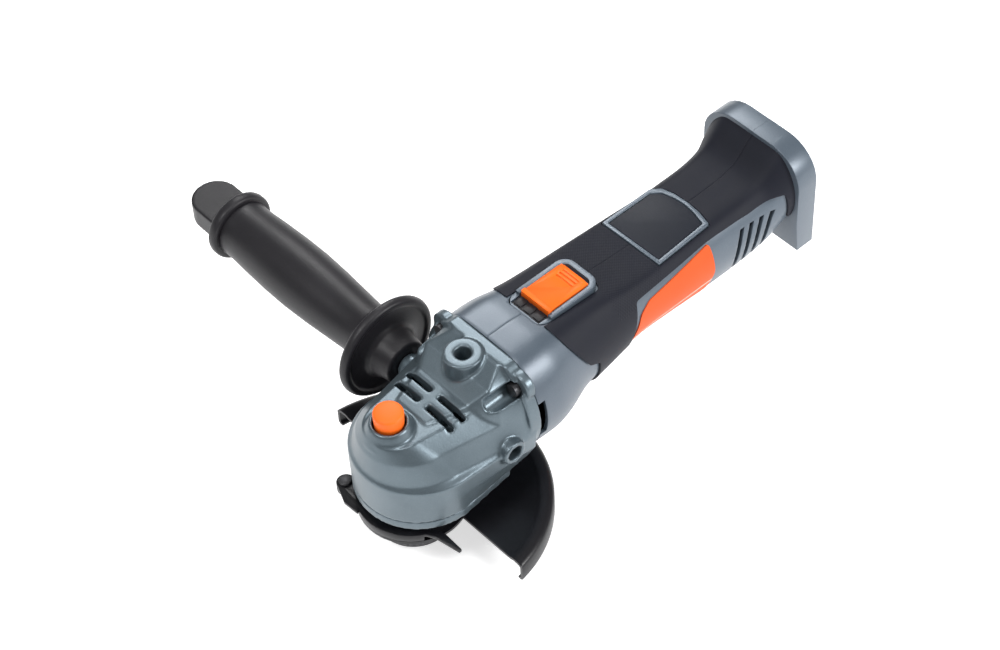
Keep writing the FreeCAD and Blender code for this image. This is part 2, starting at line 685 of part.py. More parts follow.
def pinion_hub(rim):
    """The pinion's bore and its neck towards the front bearing."""
    bore = value("shaft_radius") - 0.5
    end = value("front_bearing_x") - 0.5
    points = [(bore, rim[1].z), (bore, end), (5.6, end), (5.6, rim[0].z + 0.01)]
    return [FreeCAD.Vector(x, 0, z) for x, z in points]


gear_down = FreeCAD.Placement(apex, FreeCAD.Rotation(FreeCAD.Vector(1, 0, 0), 180))
driven_gear = bevel("driven_gear", value("gear_teeth"), value("gear_pitch_radius"), cone_length,
                    gear_hub, 0, gear_down)
hole_floor = value("hub_top") - value("lock_depth")
hole_spot = FreeCAD.Vector(value("button_x"), 0, hole_floor)
holes = [Part.makeCylinder(value("lock_radius") + 0.4, value("lock_depth") + 1, hole_spot)
         for turn in range(4)]
for turn, tool in enumerate(holes):
    tool.rotate(FreeCAD.Vector(0, 0, 0), FreeCAD.Vector(0, 0, 1), 90 * turn)
keyway_corner = FreeCAD.Vector(value("gear_seat_radius") - 3, -1.5, value("hub_top") - 11.9)
keyway = Part.makeBox(4.2, 3, 12, keyway_corner)
gear_shape = driven_gear.Shape
for tool in holes + [keyway]:
    gear_shape = gear_shape.cut(tool)
driven_gear.Placement = FreeCAD.Placement()
driven_gear.Shape = gear_shape

pinion_back = FreeCAD.Placement(apex, FreeCAD.Rotation(FreeCAD.Vector(0, 1, 0), 90))
bevel("pinion", value("pinion_teeth"), pinion_pitch_radius, cone_length, pinion_hub,
      math.pi / value("pinion_teeth"), pinion_back)

# ---- lock button ----------------------------------------------------------------------------------
def spring(label, coil_radius, wire, turns, length, place):
    """A coil spring that stands on its local XY plane."""
    path = Part.makeHelix((length - 2 * wire) / turns, length - 2 * wire, coil_radius)
    ring_edge = Part.makeCircle(wire, FreeCAD.Vector(coil_radius, 0, 0), FreeCAD.Vector(0, 1, 0))
    coil = Part.Wire(path).makePipeShell([Part.Wire(ring_edge)], True, True)
    item = doc.addObject("Part::Feature", label)
    item.Shape = coil
    item.Placement = place
    return keep(item, label)


pin_end = "hub_top + lock_gap"
button_foot = "deck_height - button_skirt"
lock_button = turned("lock_button", "Z", [
    (button_foot, 0), (button_foot, "button_radius"), ("button_top - 1.2", "button_radius"),
    ("button_top", "button_radius - 1.2"), ("button_top", 0)], x="-button_x")
turned("lock_pin", "Z", [
    (pin_end, 0), (pin_end, "lock_radius - 0.5"), (pin_end + " + 0.5", "lock_radius"),
    (button_foot, "lock_radius"), (button_foot, 0)], x="-button_x")
spring_seat = value(button_foot) - value("lock_spring_length")
spring("lock_spring", value("lock_spring_radius"), 0.4, 5, value("lock_spring_length") - 0.1,
       FreeCAD.Placement(FreeCAD.Vector(-value("button_x"), 0, spring_seat + 0.45), FreeCAD.Rotation()))

# ---- motor, on its own axis ---------------------------------------------------------------------------
toe_x = cone_length * math.cos(math.asin(pinion_pitch_radius / cone_length)) - value("face_width") - 1
rear_bearing_end = "rear_bearing_x + bearing_width"
turned("motor_shaft", "X", [
    (toe_x, 0), (toe_x, "shaft_radius - 0.5"), ("front_bearing_x - 0.5", "shaft_radius - 0.5"),
    ("front_bearing_x - 0.5", "shaft_radius"), (rear_bearing_end, "shaft_radius"), (rear_bearing_end, 0)],
    z="motor_z")
BEARINGS = ("front_bearing_x", "rear_bearing_x")
for name, inner, outer in (("outer", "bearing_radius - 1.8", "bearing_radius"),
                           ("inner", "shaft_radius", "shaft_radius + 2")):
    group("motor_bearing_%s_rings" % name,
          [tube(inner, outer, "bearing_width", start, 0, "motor_z", (1, 0, 0)) for start in BEARINGS])
ball_circle = "(bearing_radius + shaft_radius + 0.2) / 2"
ball_radius = "(bearing_radius - shaft_radius - 3.8) / 2 - running"
group("motor_bearing_balls", [
    one for start in BEARINGS
    for one in ball_ring(7, ball_circle, ball_radius, start + " + bearing_width / 2", 0, "motor_z", "X")])
ring("bearing_retainer", "X", "front_bearing_x + bearing_width", 2, "bearing_radius - 2.5",
     "bearing_radius", z="motor_z")

fan = new_body("fan", z="motor_z")
revolve(fan, "X", [
    ("fan_x", "shaft_radius"), ("fan_x + fan_depth", "shaft_radius"),
    ("fan_x + fan_depth", "fan_radius - 1"), ("fan_x + fan_depth - 1.5", "fan_radius - 1"),
    ("fan_x + fan_depth - 1.5", 10), ("fan_x", 8)])
blade = block(fan, "X", "fan_x + 1", (-0.8, 8, 0.8, "fan_radius - 1"), "fan_depth - 1")
repeat(fan, blade, "X", 11)

baffle = new_body("fan_baffle")
baffle_outline = new_sketch(baffle, "X", "fan_x + fan_depth + 2")
flat_top(baffle_outline, "joint_radius - shell_wall - 1.3", "joint_centre - 0.2",
         "joint_top - shell_wall - 1.2")
pad(baffle, baffle_outline, 1.6)
hole(baffle, "X", "fan_x + fan_depth + 4", [(0, "motor_z")], 15, 4)

can_back = "can_front + can_length"
turned("motor_can", "X", [
    ("can_front", 10), ("can_front", "can_radius"), (can_back, "can_radius"),
    (can_back, "can_radius - can_wall"), ("can_front + can_wall", "can_radius - can_wall"),
    ("can_front + can_wall", 10)], z="motor_z")
magnet_outer = "can_radius - can_wall"
magnet_inner = "can_radius - can_wall - magnet_thick"
magnet_tube = tube(magnet_inner, magnet_outer, "rotor_length + 2", "rotor_front - 1", 0, "motor_z",
                   (1, 0, 0))
magnet_gap = box(("rotor_length + 2", "2 * can_radius", 10), "rotor_front - 1", "-can_radius", "motor_z - 5")
keep(cut(magnet_tube, magnet_gap), "magnets")

armature = new_body("armature", z="motor_z")
rotor_radius = "can_radius - can_wall - magnet_thick - air_gap"
revolve(armature, "X", [
    ("rotor_front", "shaft_radius"), ("rotor_front + rotor_length", "shaft_radius"),
    ("rotor_front + rotor_length", rotor_radius), ("rotor_front", rotor_radius)])
slot_sketch = new_sketch(armature, "X", "rotor_front + rotor_length")
rectangle(slot_sketch, -1, 8, 1, rotor_radius + " + 1")
slot = pocket(armature, slot_sketch, "rotor_length")
repeat(armature, slot, "X", 9)

winding_outer = rotor_radius + " - 2.5"
group("windings", [tube("shaft_radius", winding_outer, 3.5, start, 0, "motor_z", (1, 0, 0))
                   for start in ("rotor_front - 3.5", "rotor_front + rotor_length")])
ring("commutator", "X", "commutator_front", "commutator_length", "shaft_radius", "commutator_radius",
     z="motor_z")

bell_end = rear_bearing_end + " + 2"
end_bell = turned("end_bell", "X", [
    (can_back, "can_radius - 2"), (can_back, "can_radius"), (can_back + " + 3", "can_radius - 1"),
    (rear_bearing_end, "bearing_radius + 2.6"), (bell_end, "bearing_radius + 1.8"), (bell_end, 0),
    (rear_bearing_end, 0), (rear_bearing_end, "bearing_radius"), ("rear_bearing_x", "bearing_radius"),
    ("rear_bearing_x", "can_radius - 5.5")], z="motor_z")

brush_size = ("commutator_length - 2.5", "brush_length", 4)
brush_x = "commutator_front + 1.2"
brush_back = "commutator_radius + brush_length"
group("brushes", [box(brush_size, brush_x, start, "motor_z - 2")
                  for start in ("commutator_radius", "-(%s)" % brush_back)])
for way in (1, -1):
    block(end_bell, "X", "commutator_front + 0.7",
          ("%d * (commutator_radius + 1)" % way, -3, "%d * (%s + 2.6)" % (way, brush_back), 3),
          "commutator_length - 1.5")
    opening(end_bell, "X", "%s + commutator_length - 2.5" % brush_x,
            ("%d * (commutator_radius + 0.5)" % way, -2, "%d * (%s + 1.7)" % (way, brush_back), 2),
            "commutator_length - 2.5")


def leaf_spring(back, end):
    """A folded strip that pushes a brush: one leaf on the brush, one at the end of its tube."""
    near, far = "min(%s; %s)" % (back, end), "max(%s; %s)" % (back, end)
    leaf = ("commutator_length - 2.5", 0.4, 3)
    web = (0.4, "%s - %s" % (far, near), 3)
    foot = "motor_z - 1.5"
    return fused([box(leaf, brush_x, near, foot), box(leaf, brush_x, far + " - 0.4", foot),
                  box(web, brush_x, near, foot)])


group("brush_springs", [leaf_spring("%d * (%s)" % (way, brush_back), "%d * (%s + 1.7)" % (way, brush_back))
                        for way in (1, -1)])

# ---- body: two shells with soft skins over them ---------------------------------------------------------
COLLAR = [("joint_x", "joint_radius", "joint_centre", "joint_top"),
          ("joint_x + 14", "joint_radius", "joint_centre - 0.4", "joint_top"),
          ("grip_front", "joint_radius - 1.5", "joint_centre + 0.2", "joint_top - 1")]
GRIP = [("grip_front", "joint_radius - 1.5", "joint_centre + 0.2", "joint_top - 1"),
        ("grip_front + 13", "joint_radius - 4.3", "joint_centre + 2.6", "joint_top - 2"),
        ("grip_front + 30", "waist_radius + 2.2", "waist_centre + 0.2", "joint_top - 3"),
        ("grip_front + 51", "waist_radius + 0.4", "waist_centre + 1.7", "pad_top + 0.8"),
        ("pad_front + 3", "waist_radius", "waist_centre + 0.8", "pad_top"),
        ("pad_front + pad_length + 5", "waist_radius", "waist_centre - 1.3", "pad_top"),
        ("body_end - 15", "waist_radius + 0.4", "waist_centre + 1.4", "pad_top + 3"),
        ("body_end", "rear_half_width - 2", "rear_top - 26", "rear_top - 1.5")]


def round_loft(body, stations, inset, remove=False):
    sections = []
    for x, radius, centre, top in stations:
        section = new_sketch(body, "X", x)
        flat_top(section, "%s - (%s)" % (radius, inset), centre, "%s - (%s)" % (top, inset))
        sections.append(section)
    return loft(body, sections, remove)


def halve(body, side):
    """Leaves only the +Y half (side 1) or the -Y half (side -1)."""
    sketch = new_sketch(body, "Y", 0)
    rectangle(sketch, "joint_x - 10", -20, "body_end + 30", "rear_top + 20")
    return pocket(body, sketch, 60, -side)


def tombstone(sketch, half_width, bottom, top, corner):
    """Straight sides and a flat top, with round upper corners in three flats each."""
    points = [("-(%s)" % half_width, bottom), (half_width, bottom)]
    turns = [(math.cos(math.radians(angle)), math.sin(math.radians(angle))) for angle in (0, 30, 60, 90)]
    for side, row in ((1, turns), (-1, turns[::-1])):
        for across, rise in row:
            points.append(("%d * (%s - %s * %.6f)" % (side, half_width, corner, 1 - across),
                           "%s - %s * %.6f" % (top, corner, 1 - rise)))
    polygon(sketch, points)


# shell screws: along the body, height, and how far their bosses reach out
SHELL_SCREWS = [(130, 37, 21), (137, 57, 25), (190, 36, 21), (190, 60, 25)]
VENTS = [193, 200, 207, 214]
MODULE_SEAT = (-8, 44, 8, "link_top - 5")
BOARD_SEAT = (-15, 50, 15, 68)
RIBS = [("can_front + 3", "joint_radius - 3.2", "joint_centre + 0.3", "joint_top - 3.5", None),
        (can_back + " - 5", "waist_radius + 0.6", "waist_centre - 0.4", "joint_top - 5.2", None),
        ("switch_front + 4", "waist_radius - 2.4", "waist_centre + 0.6", "pad_top - 2.6", MODULE_SEAT),
        ("switch_front + 20", "waist_radius - 2.4", "waist_centre - 0.4", "pad_top - 2.6", MODULE_SEAT),
        (201, "waist_radius - 2.4", "waist_centre", "pad_top - 1", BOARD_SEAT),
        (215, "waist_radius - 2", "waist_centre + 1.2", "pad_top", BOARD_SEAT)]
pocket_front, pocket_back = "bezel_front", "bezel_front + bezel_length"


def shared_openings(body):
    """Pockets for the switch bezel and the pad, in the shells and in the skins over them."""
    opening(body, "Z", "rear_top", (pocket_front, "-bezel_half_width", pocket_back, "bezel_half_width"),
            "rear_top - bezel_bottom")
    opening(body, "Z", "rear_top",
            ("pad_front - pad_rim", "-pad_half_width - pad_rim",
             "pad_front + pad_length + pad_rim", "pad_half_width + pad_rim"),
            "rear_top - pad_top + pad_depth")


def shell(label, side):
    body = new_body(label)
    round_loft(body, COLLAR, 0)
    round_loft(body, GRIP, "skin")
    rear = new_sketch(body, "X", "body_end")
    tombstone(rear, "rear_half_width", "rear_bottom", "rear_top", "rear_corner")
    pad(body, rear, "rear_thick")
    round_loft(body, COLLAR, "shell_wall", True)
    round_loft(body, GRIP, "skin + shell_wall", True)
    # ribs that hold the motor can, the switch module and the control board
    for x, radius, centre, top, corners in RIBS:
        rib = new_sketch(body, "X", x)
        flat_top(rib, radius, centre, top)
        if corners:
            rectangle(rib, *corners)
        else:
            circle(rib, 0, "motor_z", "can_radius")
        pad(body, rib, 2)
    halve(body, side)
    for x, z, reach in SHELL_SCREWS:
        boss = new_sketch(body, "Y", 0)
        circle(boss, x, z, 4.2)
        pad(body, boss, reach, side)
    # battery socket, open at the back and below, with a window for the terminals
    opening(body, "X", "body_end + rear_thick",
            ("-socket_half_width", "rear_bottom - 1", "socket_half_width", "socket_top"), "socket_depth")
    opening(body, "X", "body_end + rear_thick", (-16, 56, 16, 76), "rear_thick + 1")
    shared_openings(body)
    # the switch link's stem passes here
    opening(body, "Z", "rear_top", ("knob_front", -3.6, can_back, 3.6),
            "rear_top - link_top + link_thick + free")
    for x in VENTS:
        opening(body, "Y", "%d * rear_half_width" % side, (x, "38", x + 2.6, "61"), 14, -side)
    # outlet slot behind the gear case flange
    opening(body, "Y", "%d * (joint_radius + 1)" % side, ("joint_x", 38, "joint_x + 4", 60), 12, -side)
    for y, z in EARS:
        if (y[0] != "-") == (side > 0):
            ear_boss = new_sketch(body, "X", "joint_x")
            circle(ear_boss, y, z, "ear_radius - 0.6")
            pad(body, ear_boss, 14)
            hole(body, "X", "joint_x", [(y, z)], 2.05, 16.1, 1)
    if side > 0:
        for x, z, reach in SHELL_SCREWS:
            hole(body, "Y", 0, [(x, z)], 2, 40, 1)
            hole(body, "Y", 40, [(x, z)], 3.6, "40 - 16", -1)
    else:
        for x, z, reach in SHELL_SCREWS:
            hole(body, "Y", 0, [(x, z)], 1.8, 14, -1)
    return body


for name, side in (("shell_right", 1), ("shell_left", -1)):
    shell(name, side)
screws("shell_screws", [(x, 16, z) for x, z, reach in SHELL_SCREWS], (0, -1, 0), 3.3, 2.2, 1.8, 29)


def skin_part(label, side):
    body = new_body(label)
    round_loft(body, GRIP, 0)
    round_loft(body, GRIP, "skin", True)
    halve(body, side)
    shared_openings(body)
    opening(body, "Y", "%d * rear_half_width" % side,
            ("window_front", "window_bottom", "window_back", "window_top"), 26, -side)
    return body


def panel_part(label, side):
    """A thin panel that follows the side of the shell."""
    body = new_body(label)
    round_loft(body, GRIP, "skin - panel_proud")
    round_loft(body, GRIP, "skin", True)
    halve(body, side)
    for corners in (("joint_x", -20, "panel_front", "rear_top + 10"),
                    ("panel_back", -20, "body_end + 30", "rear_top + 10"),
                    ("panel_front - 1", -20, "panel_back + 1", "panel_bottom"),
                    ("panel_front - 1", "window_top - free", "panel_back + 1", "rear_top + 10")):
        opening(body, "Y", "%d * 60" % side, corners, 60, -side)
    return body


for name, side in (("right", 1), ("left", -1)):
    skin_part("grip_skin_" + name, side)
    panel_part("side_panel_" + name, side)

# ---- pad on top of the body ------------------------------------------------------------------
pad_floor = "pad_top - pad_depth"
pad_back = "pad_front + pad_length"
pad_frame = new_body("pad_frame")
block(pad_frame, "Z", pad_floor, ("pad_front - pad_rim", "-pad_half_width - pad_rim",
                                  "pad_front + pad_length + pad_rim", "pad_half_width + pad_rim"),
      "pad_depth + 0.4")
pad_area = ("pad_front", "-pad_half_width", pad_back, "pad_half_width")
opening(pad_frame, "Z", "pad_top + 1", pad_area, "pad_depth + 1")
pad_plate = new_body("pad_plate")
block(pad_plate, "Z", pad_floor, pad_area, "pad_depth + 0.1")

# ---- slide switch ----------------------------------------------------------------------------
bezel = new_body("switch_bezel")
block(bezel, "Z", "bezel_bottom", (pocket_front, "-bezel_half_width", pocket_back, "bezel_half_width"),
      "bezel_top - bezel_bottom")
opening(bezel, "Z", "bezel_top", ("bezel_front + 1.5", "-knob_half_width - free",
                                  "knob_front + knob_length + 1", "knob_half_width + free"),
        "bezel_top - channel_floor")
opening(bezel, "Z", "channel_floor", ("knob_front + 0.5", -3.4, "knob_front + 18.5", 3.4),
        "channel_floor - bezel_bottom")

knob_bottom = "channel_floor + free / 2"
knob = new_body("switch_knob")
block(knob, "Z", knob_bottom,
      ("knob_front", "-knob_half_width", "knob_front + knob_length", "knob_half_width"),
      "knob_top - (%s)" % knob_bottom)
block(knob, "Z", "link_top", ("knob_front + 8", -2.9, "knob_front + 18", 2.9),
      "%s - link_top" % knob_bottom)

link_bottom = "link_top - link_thick"
link_bend = can_back + " + 7"
foot_bottom = "link_top - link_drop"
link = new_body("switch_link")
link_side = new_sketch(link, "Y", -2.5)
polygon(link_side, [
    ("knob_front + 8", link_bottom), (link_bend, link_bottom), ("link_foot", foot_bottom),
    ("switch_front - 1", foot_bottom), ("switch_front - 1", foot_bottom + " + link_thick"),
    ("link_foot + 0.3", foot_bottom + " + link_thick"), (link_bend + " + 0.3", "link_top"),
    ("knob_front + 8", "link_top")])
pad(link, link_side, 5)

# ---- electrics -------------------------------------------------------------------------------
module = new_body("switch_module")
plunger_z = foot_bottom + " + link_thick / 2"
block(module, "X", "switch_front", MODULE_SEAT, 30)
hole(module, "X", "switch_front", [(0, plunger_z)], 1.9, 8, 1)
group("switch_plunger", [cylinder("1.8", "8.5", "switch_front - 1", 0, plunger_z, (1, 0, 0))])
board = new_body("control_board")
block(board, "Z", 50, (197, -15, 222, 15), 1.6)
block(board, "Z", 51.6, (201, -11, 218, 11), 7)

terminal_block = new_body("terminal_block")
block(terminal_block, "X", "body_end - 1", (-15.8, 56.2, 15.8, 75.8), "rear_thick - socket_depth + 5")
block(terminal_block, "X", "body_end + rear_thick - socket_depth", (-20, 52, 20, 76), 4)
BLADE_Y = (-12, -4, 4, 12)
group("terminal_blades", [box((1, 0.8, 14), "body_end + rear_thick - socket_depth + 4", y - 0.4, 58)
                          for y in BLADE_Y])
rail_x = "body_end + rear_thick - socket_depth + rail_gap"
rail_length = "socket_top - rear_bottom - 3"
group("battery_rails", [box(("rail_thick", "rail_width", rail_length), rail_x, y, "rear_bottom + 3")
                        for y in ("-socket_half_width", "socket_half_width - rail_width")])

# ---- guard -----------------------------------------------------------------------------------
guard_shell = new_body("guard_shell")
plate = new_sketch(guard_shell, "Z", "guard_top")
circle(plate, 0, 0, "guard_radius")
circle(plate, 0, 0, "neck_radius + running")
pad(guard_shell, plate, "sheet", -1)
revolve(guard_shell, "Z", [
    ("guard_top", "guard_radius - sheet"), ("guard_top", "guard_radius"),
    ("-skirt_bottom", "guard_radius"), ("-skirt_bottom", "guard_radius - lip"),
    ("sheet - skirt_bottom", "guard_radius - lip"), ("sheet - skirt_bottom", "guard_radius - sheet")])
opening(guard_shell, "Z", "guard_top + 1",
        ("-guard_radius - 1", "-guard_radius - 1", "guard_cut", "guard_radius + 1"),
        "guard_top + skirt_bottom + 2")

collar_outer = "neck_radius + running + collar_wall"
guard_collar = new_body("guard_collar")
band = new_sketch(guard_collar, "Z", "guard_top")
circle(band, 0, 0, collar_outer)
circle(band, 0, 0, "neck_radius + running")
pad(guard_collar, band, "collar_top - guard_top")
arm = new_sketch(guard_collar, "Z", "guard_top")
polygon(arm, [("-lever_x - 4", "lever_y - 1.5"), ("-lever_x + 4", "lever_y + 2.5"),
              ("-lever_x + 13", "lever_y - 5"), ("-lever_x + 4", "lever_y - 12.5")])
pad(guard_collar, arm, "lever_bottom - guard_top - running")
eye = new_sketch(guard_collar, "Z", "guard_top")
circle(eye, "-lever_x", "lever_y", 4.6)
pad(guard_collar, eye, "lever_bottom - guard_top - running")
hole(guard_collar, "Z", "lever_bottom", [("-lever_x", "lever_y")], 2, "lever_bottom - guard_top")
opening(guard_collar, "Z", "collar_top + 1", ("-guard_radius", -4, 0, -2), "collar_top - lever_bottom + 1.5")

pin = new_body("lever_pin")
revolve(pin, "Z", [("guard_top", 0), ("guard_top", 2), ("lever_bottom + lever_thick + running", 2),
                   ("lever_bottom + lever_thick + running", 3.4), ("lever_bottom + lever_thick + 1.4", 3),
                   ("lever_bottom + lever_thick + 1.4", 0)])
pin.setExpression("Placement.Base.x", bind("-lever_x"))
pin.setExpression("Placement.Base.y", bind("lever_y"))


def sector(sketch, inner, outer, start, end):
    """Part of a flat ring round the origin, between two directions in degrees."""
    spots = []
    for radius in (inner, outer):
        item = Part.Circle(FreeCAD.Vector(0, 0, 0), FreeCAD.Vector(0, 0, 1), value(radius))
        sketch.addGeometry(Part.ArcOfCircle(item, math.radians(start), math.radians(end)), False)
        spots.append([(math.cos(math.radians(a)), math.sin(math.radians(a))) for a in (start, end)])
    for one in (0, 1):
        ends = [FreeCAD.Vector(*spots[k][one], 0) * value((inner, outer)[k]) for k in (0, 1)]
        sketch.addGeometry(Part.LineSegment(ends[0], ends[1]), False)
        for k in (0, 1):
            sketch.addConstraint(Sketcher.Constraint("Coincident", k, one + 1, 2 + one, k + 1))
    for k, radius in ((0, inner), (1, outer)):
        fix(sketch, "Radius", k, 0, radius)
        sketch.addConstraint(Sketcher.Constraint("Coincident", k, 3, -1, 1))
        for one in (0, 1):
            fix(sketch, "DistanceX", k, one + 1, "(%s) * %.6f" % (radius, spots[k][one][0]))


lever_inner = collar_outer + " + free"
lever_outer = lever_inner + " + lever_width"
lever = new_body("guard_lever")
bow = new_sketch(lever, "Z", "lever_bottom")
sector(bow, lever_inner, lever_outer, 130, 248)
pad(lever, bow, "lever_thick")
lever_eye = new_sketch(lever, "Z", "lever_bottom")
circle(lever_eye, "-lever_x", "lever_y", 4.6)
pad(lever, lever_eye, "lever_thick")
root = new_sketch(lever, "Z", "lever_bottom")
polygon(root, [("-lever_x - 4.4", "lever_y + 1"), ("-lever_x - 8.5", "lever_y - 9"),
               ("-lever_x - 8", "lever_y - 18"), ("-lever_x - 1", "lever_y - 15"),
               ("-lever_x + 2.5", "lever_y - 12"), ("-lever_x + 4", "lever_y - 2")])
pad(lever, root, "lever_thick")
tail = new_sketch(lever, "Z", "lever_bottom")
polygon(tail, [(-16, -19.5), (-11, -29), (-8.4, -43), (-6.8, -43), (-6.2, -30), (-9.5, -21.5)])
pad(lever, tail, "lever_thick")
hole(lever, "Z", "lever_bottom + 5", [("0", "0")], lever_inner, 6)
hole(lever, "Z", "lever_bottom + 5", [("-lever_x", "lever_y")], "2 + running", 6)
rim = new_sketch(lever, "Z", "lever_bottom")
sector(rim, lever_outer + " - 1.4", lever_outer, 150, 240)
pad(lever, rim, 2.6, -1)

# ---- side handle, on its own axis -------------------------------------------------------------
handle_place = {"x": "handle_x", "z": "handle_z"}
turned("handle_stud", "Y", [
    ("handle_face - stud_depth", 0), ("handle_face - stud_depth", "stud_radius - 0.8"),
    ("handle_face - stud_depth + 0.8", "stud_radius"), ("hand_guard_y + 22", "stud_radius"),
    ("hand_guard_y + 22", 0)], **handle_place)
handle_grip = turned("handle_grip", "Y", [
    ("handle_face + free", "stud_radius"), ("handle_face + free", 12), ("hand_guard_y - 3", 14),
    ("hand_guard_y", 18), ("hand_guard_y", "hand_guard_radius - 1.5"),
    ("hand_guard_y + 1.5", "hand_guard_radius"), ("hand_guard_y + 4", "hand_guard_radius"),
    ("hand_guard_y + 9", 17), ("hand_guard_y + 13", 14.2), ("hand_guard_y + 32", 15.2),
    ("hand_guard_y + 62", 16.8), ("hand_guard_y + 92", 16.2), ("ring_y - 8", 15.2), ("ring_y - 3", 15.5),
    ("ring_y - 3", 0), ("hand_guard_y + 22", 0), ("hand_guard_y + 22", "stud_radius")], **handle_place)
turned("handle_ring", "Y", [
    ("ring_y - 3", 0), ("ring_y - 3", 17.8), ("ring_y - 2", 18.6), ("ring_y + 2", 18.6),
    ("ring_y + 3", 17.8), ("ring_y + 3", 0)], **handle_place)
tab = new_body("handle_tab", **handle_place)
block(tab, "Z", "-tab_thick / 2",
      ("-tab_radius", "ring_y + 3", "tab_radius", "handle_end - tab_radius"), "tab_thick")
tab_tip = new_sketch(tab, "Z", "-tab_thick / 2")
circle(tab_tip, 0, "handle_end - tab_radius", "tab_radius")
pad(tab, tab_tip, "tab_thick")


# ---- checks and files ------------------------------------------------------------------------
doc.recompute()
for item in doc.Objects:
    if "Invalid" in item.State or "Error" in item.State:
        raise ValueError("%s (%s) failed" % (item.Name, item.Label))
for item in NODES:
    if item.Shape.isNull() or not item.Shape.isValid() or not item.Shape.Solids:
        raise ValueError("%s has no sound solid" % item.Label)

os.makedirs("parts", exist_ok=True)
for item in NODES:
    item.Shape.exportStep("parts/%s.step" % item.Label)
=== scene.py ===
"""A cordless angle grinder with its side handle and guard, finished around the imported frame."""
import json
import math

import bmesh
import bpy
from mathutils import Matrix, Vector


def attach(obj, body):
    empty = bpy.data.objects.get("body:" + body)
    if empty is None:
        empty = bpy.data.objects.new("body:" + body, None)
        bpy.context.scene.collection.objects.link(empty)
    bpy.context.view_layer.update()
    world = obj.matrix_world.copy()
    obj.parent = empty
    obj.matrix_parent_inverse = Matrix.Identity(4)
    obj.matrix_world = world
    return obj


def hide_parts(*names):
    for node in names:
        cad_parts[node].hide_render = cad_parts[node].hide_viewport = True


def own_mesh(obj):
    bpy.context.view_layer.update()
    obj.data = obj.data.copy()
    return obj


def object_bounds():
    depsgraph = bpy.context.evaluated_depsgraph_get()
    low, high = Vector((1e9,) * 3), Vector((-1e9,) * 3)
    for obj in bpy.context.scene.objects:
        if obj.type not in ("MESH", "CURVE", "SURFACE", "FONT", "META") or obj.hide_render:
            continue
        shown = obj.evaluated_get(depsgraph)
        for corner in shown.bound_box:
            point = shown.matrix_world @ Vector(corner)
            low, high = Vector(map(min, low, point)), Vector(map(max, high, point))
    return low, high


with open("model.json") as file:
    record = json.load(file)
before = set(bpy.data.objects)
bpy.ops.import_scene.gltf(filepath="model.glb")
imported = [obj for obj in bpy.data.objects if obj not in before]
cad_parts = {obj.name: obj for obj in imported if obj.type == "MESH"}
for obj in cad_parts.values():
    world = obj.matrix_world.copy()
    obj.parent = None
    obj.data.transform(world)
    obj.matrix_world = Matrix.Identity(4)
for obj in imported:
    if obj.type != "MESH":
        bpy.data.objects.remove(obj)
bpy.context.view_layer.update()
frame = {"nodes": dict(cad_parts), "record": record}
nodes = frame["nodes"]
MM = 0.001


# ---- gear case --------------------------------------------------------------------------------
# The head is an aluminium casting under a blue-grey lacquer with a fine metallic fleck. Casting
# leaves every edge soft, so the machined shape is skinned afresh and its edges are rubbed down.
class Wire:
    """A value in a finish; sums and products of wires add their Math nodes."""

    def __init__(self, tree, socket):
        self.tree = tree
        self.socket = socket

    def node(self, kind, settings, values, out=0):
        """Adds any other node: its settings first, then its sockets by name or number."""
        added = self.tree.nodes.new(kind)
        for name, setting in settings.items():
            setattr(added, name, setting)
        for name, value in values.items():
            if isinstance(value, Wire):
                self.tree.links.new(value.socket, added.inputs[name])
            else:
                added.inputs[name].default_value = value
        return Wire(self.tree, added.outputs[out])

    def math(self, operation, left, right=0.0):
        return self.node("ShaderNodeMath", {"operation": operation}, {0: left, 1: right})

    def __add__(self, other):
        return self.math("ADD", self, other)

    def __radd__(self, other):
        return self.math("ADD", other, self)

    def __sub__(self, other):
        return self.math("SUBTRACT", self, other)

    def __rsub__(self, other):
        return self.math("SUBTRACT", other, self)

    def __mul__(self, other):
        return self.math("MULTIPLY", self, other)

    def __rmul__(self, other):
        return self.math("MULTIPLY", other, self)

    def above(self, limit):
        return self.math("GREATER_THAN", self, limit)

    def wave(self):
        return self.math("SINE", self)

    def size(self):
        return self.math("ABSOLUTE", self)

    def noise(self, scale, detail=2.0):
        return self.node("ShaderNodeTexNoise", {}, {"Vector": self, "Scale": scale, "Detail": detail})

    def stretched(self, x, y, z):
        """This position with its axes stretched, to draw a pattern out along the short ones."""
        return self.node("ShaderNodeMapping", {}, {"Vector": self, "Scale": (x, y, z)})

    def part(self, axis):
        return self.node("ShaderNodeSeparateXYZ", {}, {"Vector": self}, "XYZ".index(axis))

    def blend(self, low, high):
        """A colour between two others, with this wire as the factor."""
        low, high = ((*one, 1.0) if isinstance(one, tuple) else one for one in (low, high))
        return self.node("ShaderNodeMix", {"data_type": "RGBA"}, {0: self, 6: low, 7: high}, 2)


def new_finish(name, metallic=0.0, coat=0.0, gloss=0.5):
    material = bpy.data.materials.new(name)
    material.use_nodes = True
    shader = material.node_tree.nodes["Principled BSDF"]
    shader.inputs["Specular IOR Level"].default_value = gloss
    shader.inputs["Metallic"].default_value = metallic
    shader.inputs["Coat Weight"].default_value = coat
    shader.inputs["Coat Roughness"].default_value = 0.25
    place = material.node_tree.nodes.new("ShaderNodeTexCoord")
    return material, shader, Wire(material.node_tree, place.outputs["Object"])


def feed(shader, place, colour, roughness, height, depth):
    """Joins a finish's colour, roughness and small relief (depth in metres) to its shader."""
    links = place.tree.links
    links.new(colour.socket, shader.inputs["Base Color"])
    links.new(roughness.socket, shader.inputs["Roughness"])
    relief = place.node("ShaderNodeBump", {}, {"Strength": 1.0, "Distance": depth, "Height": height})
    links.new(relief.socket, shader.inputs["Normal"])


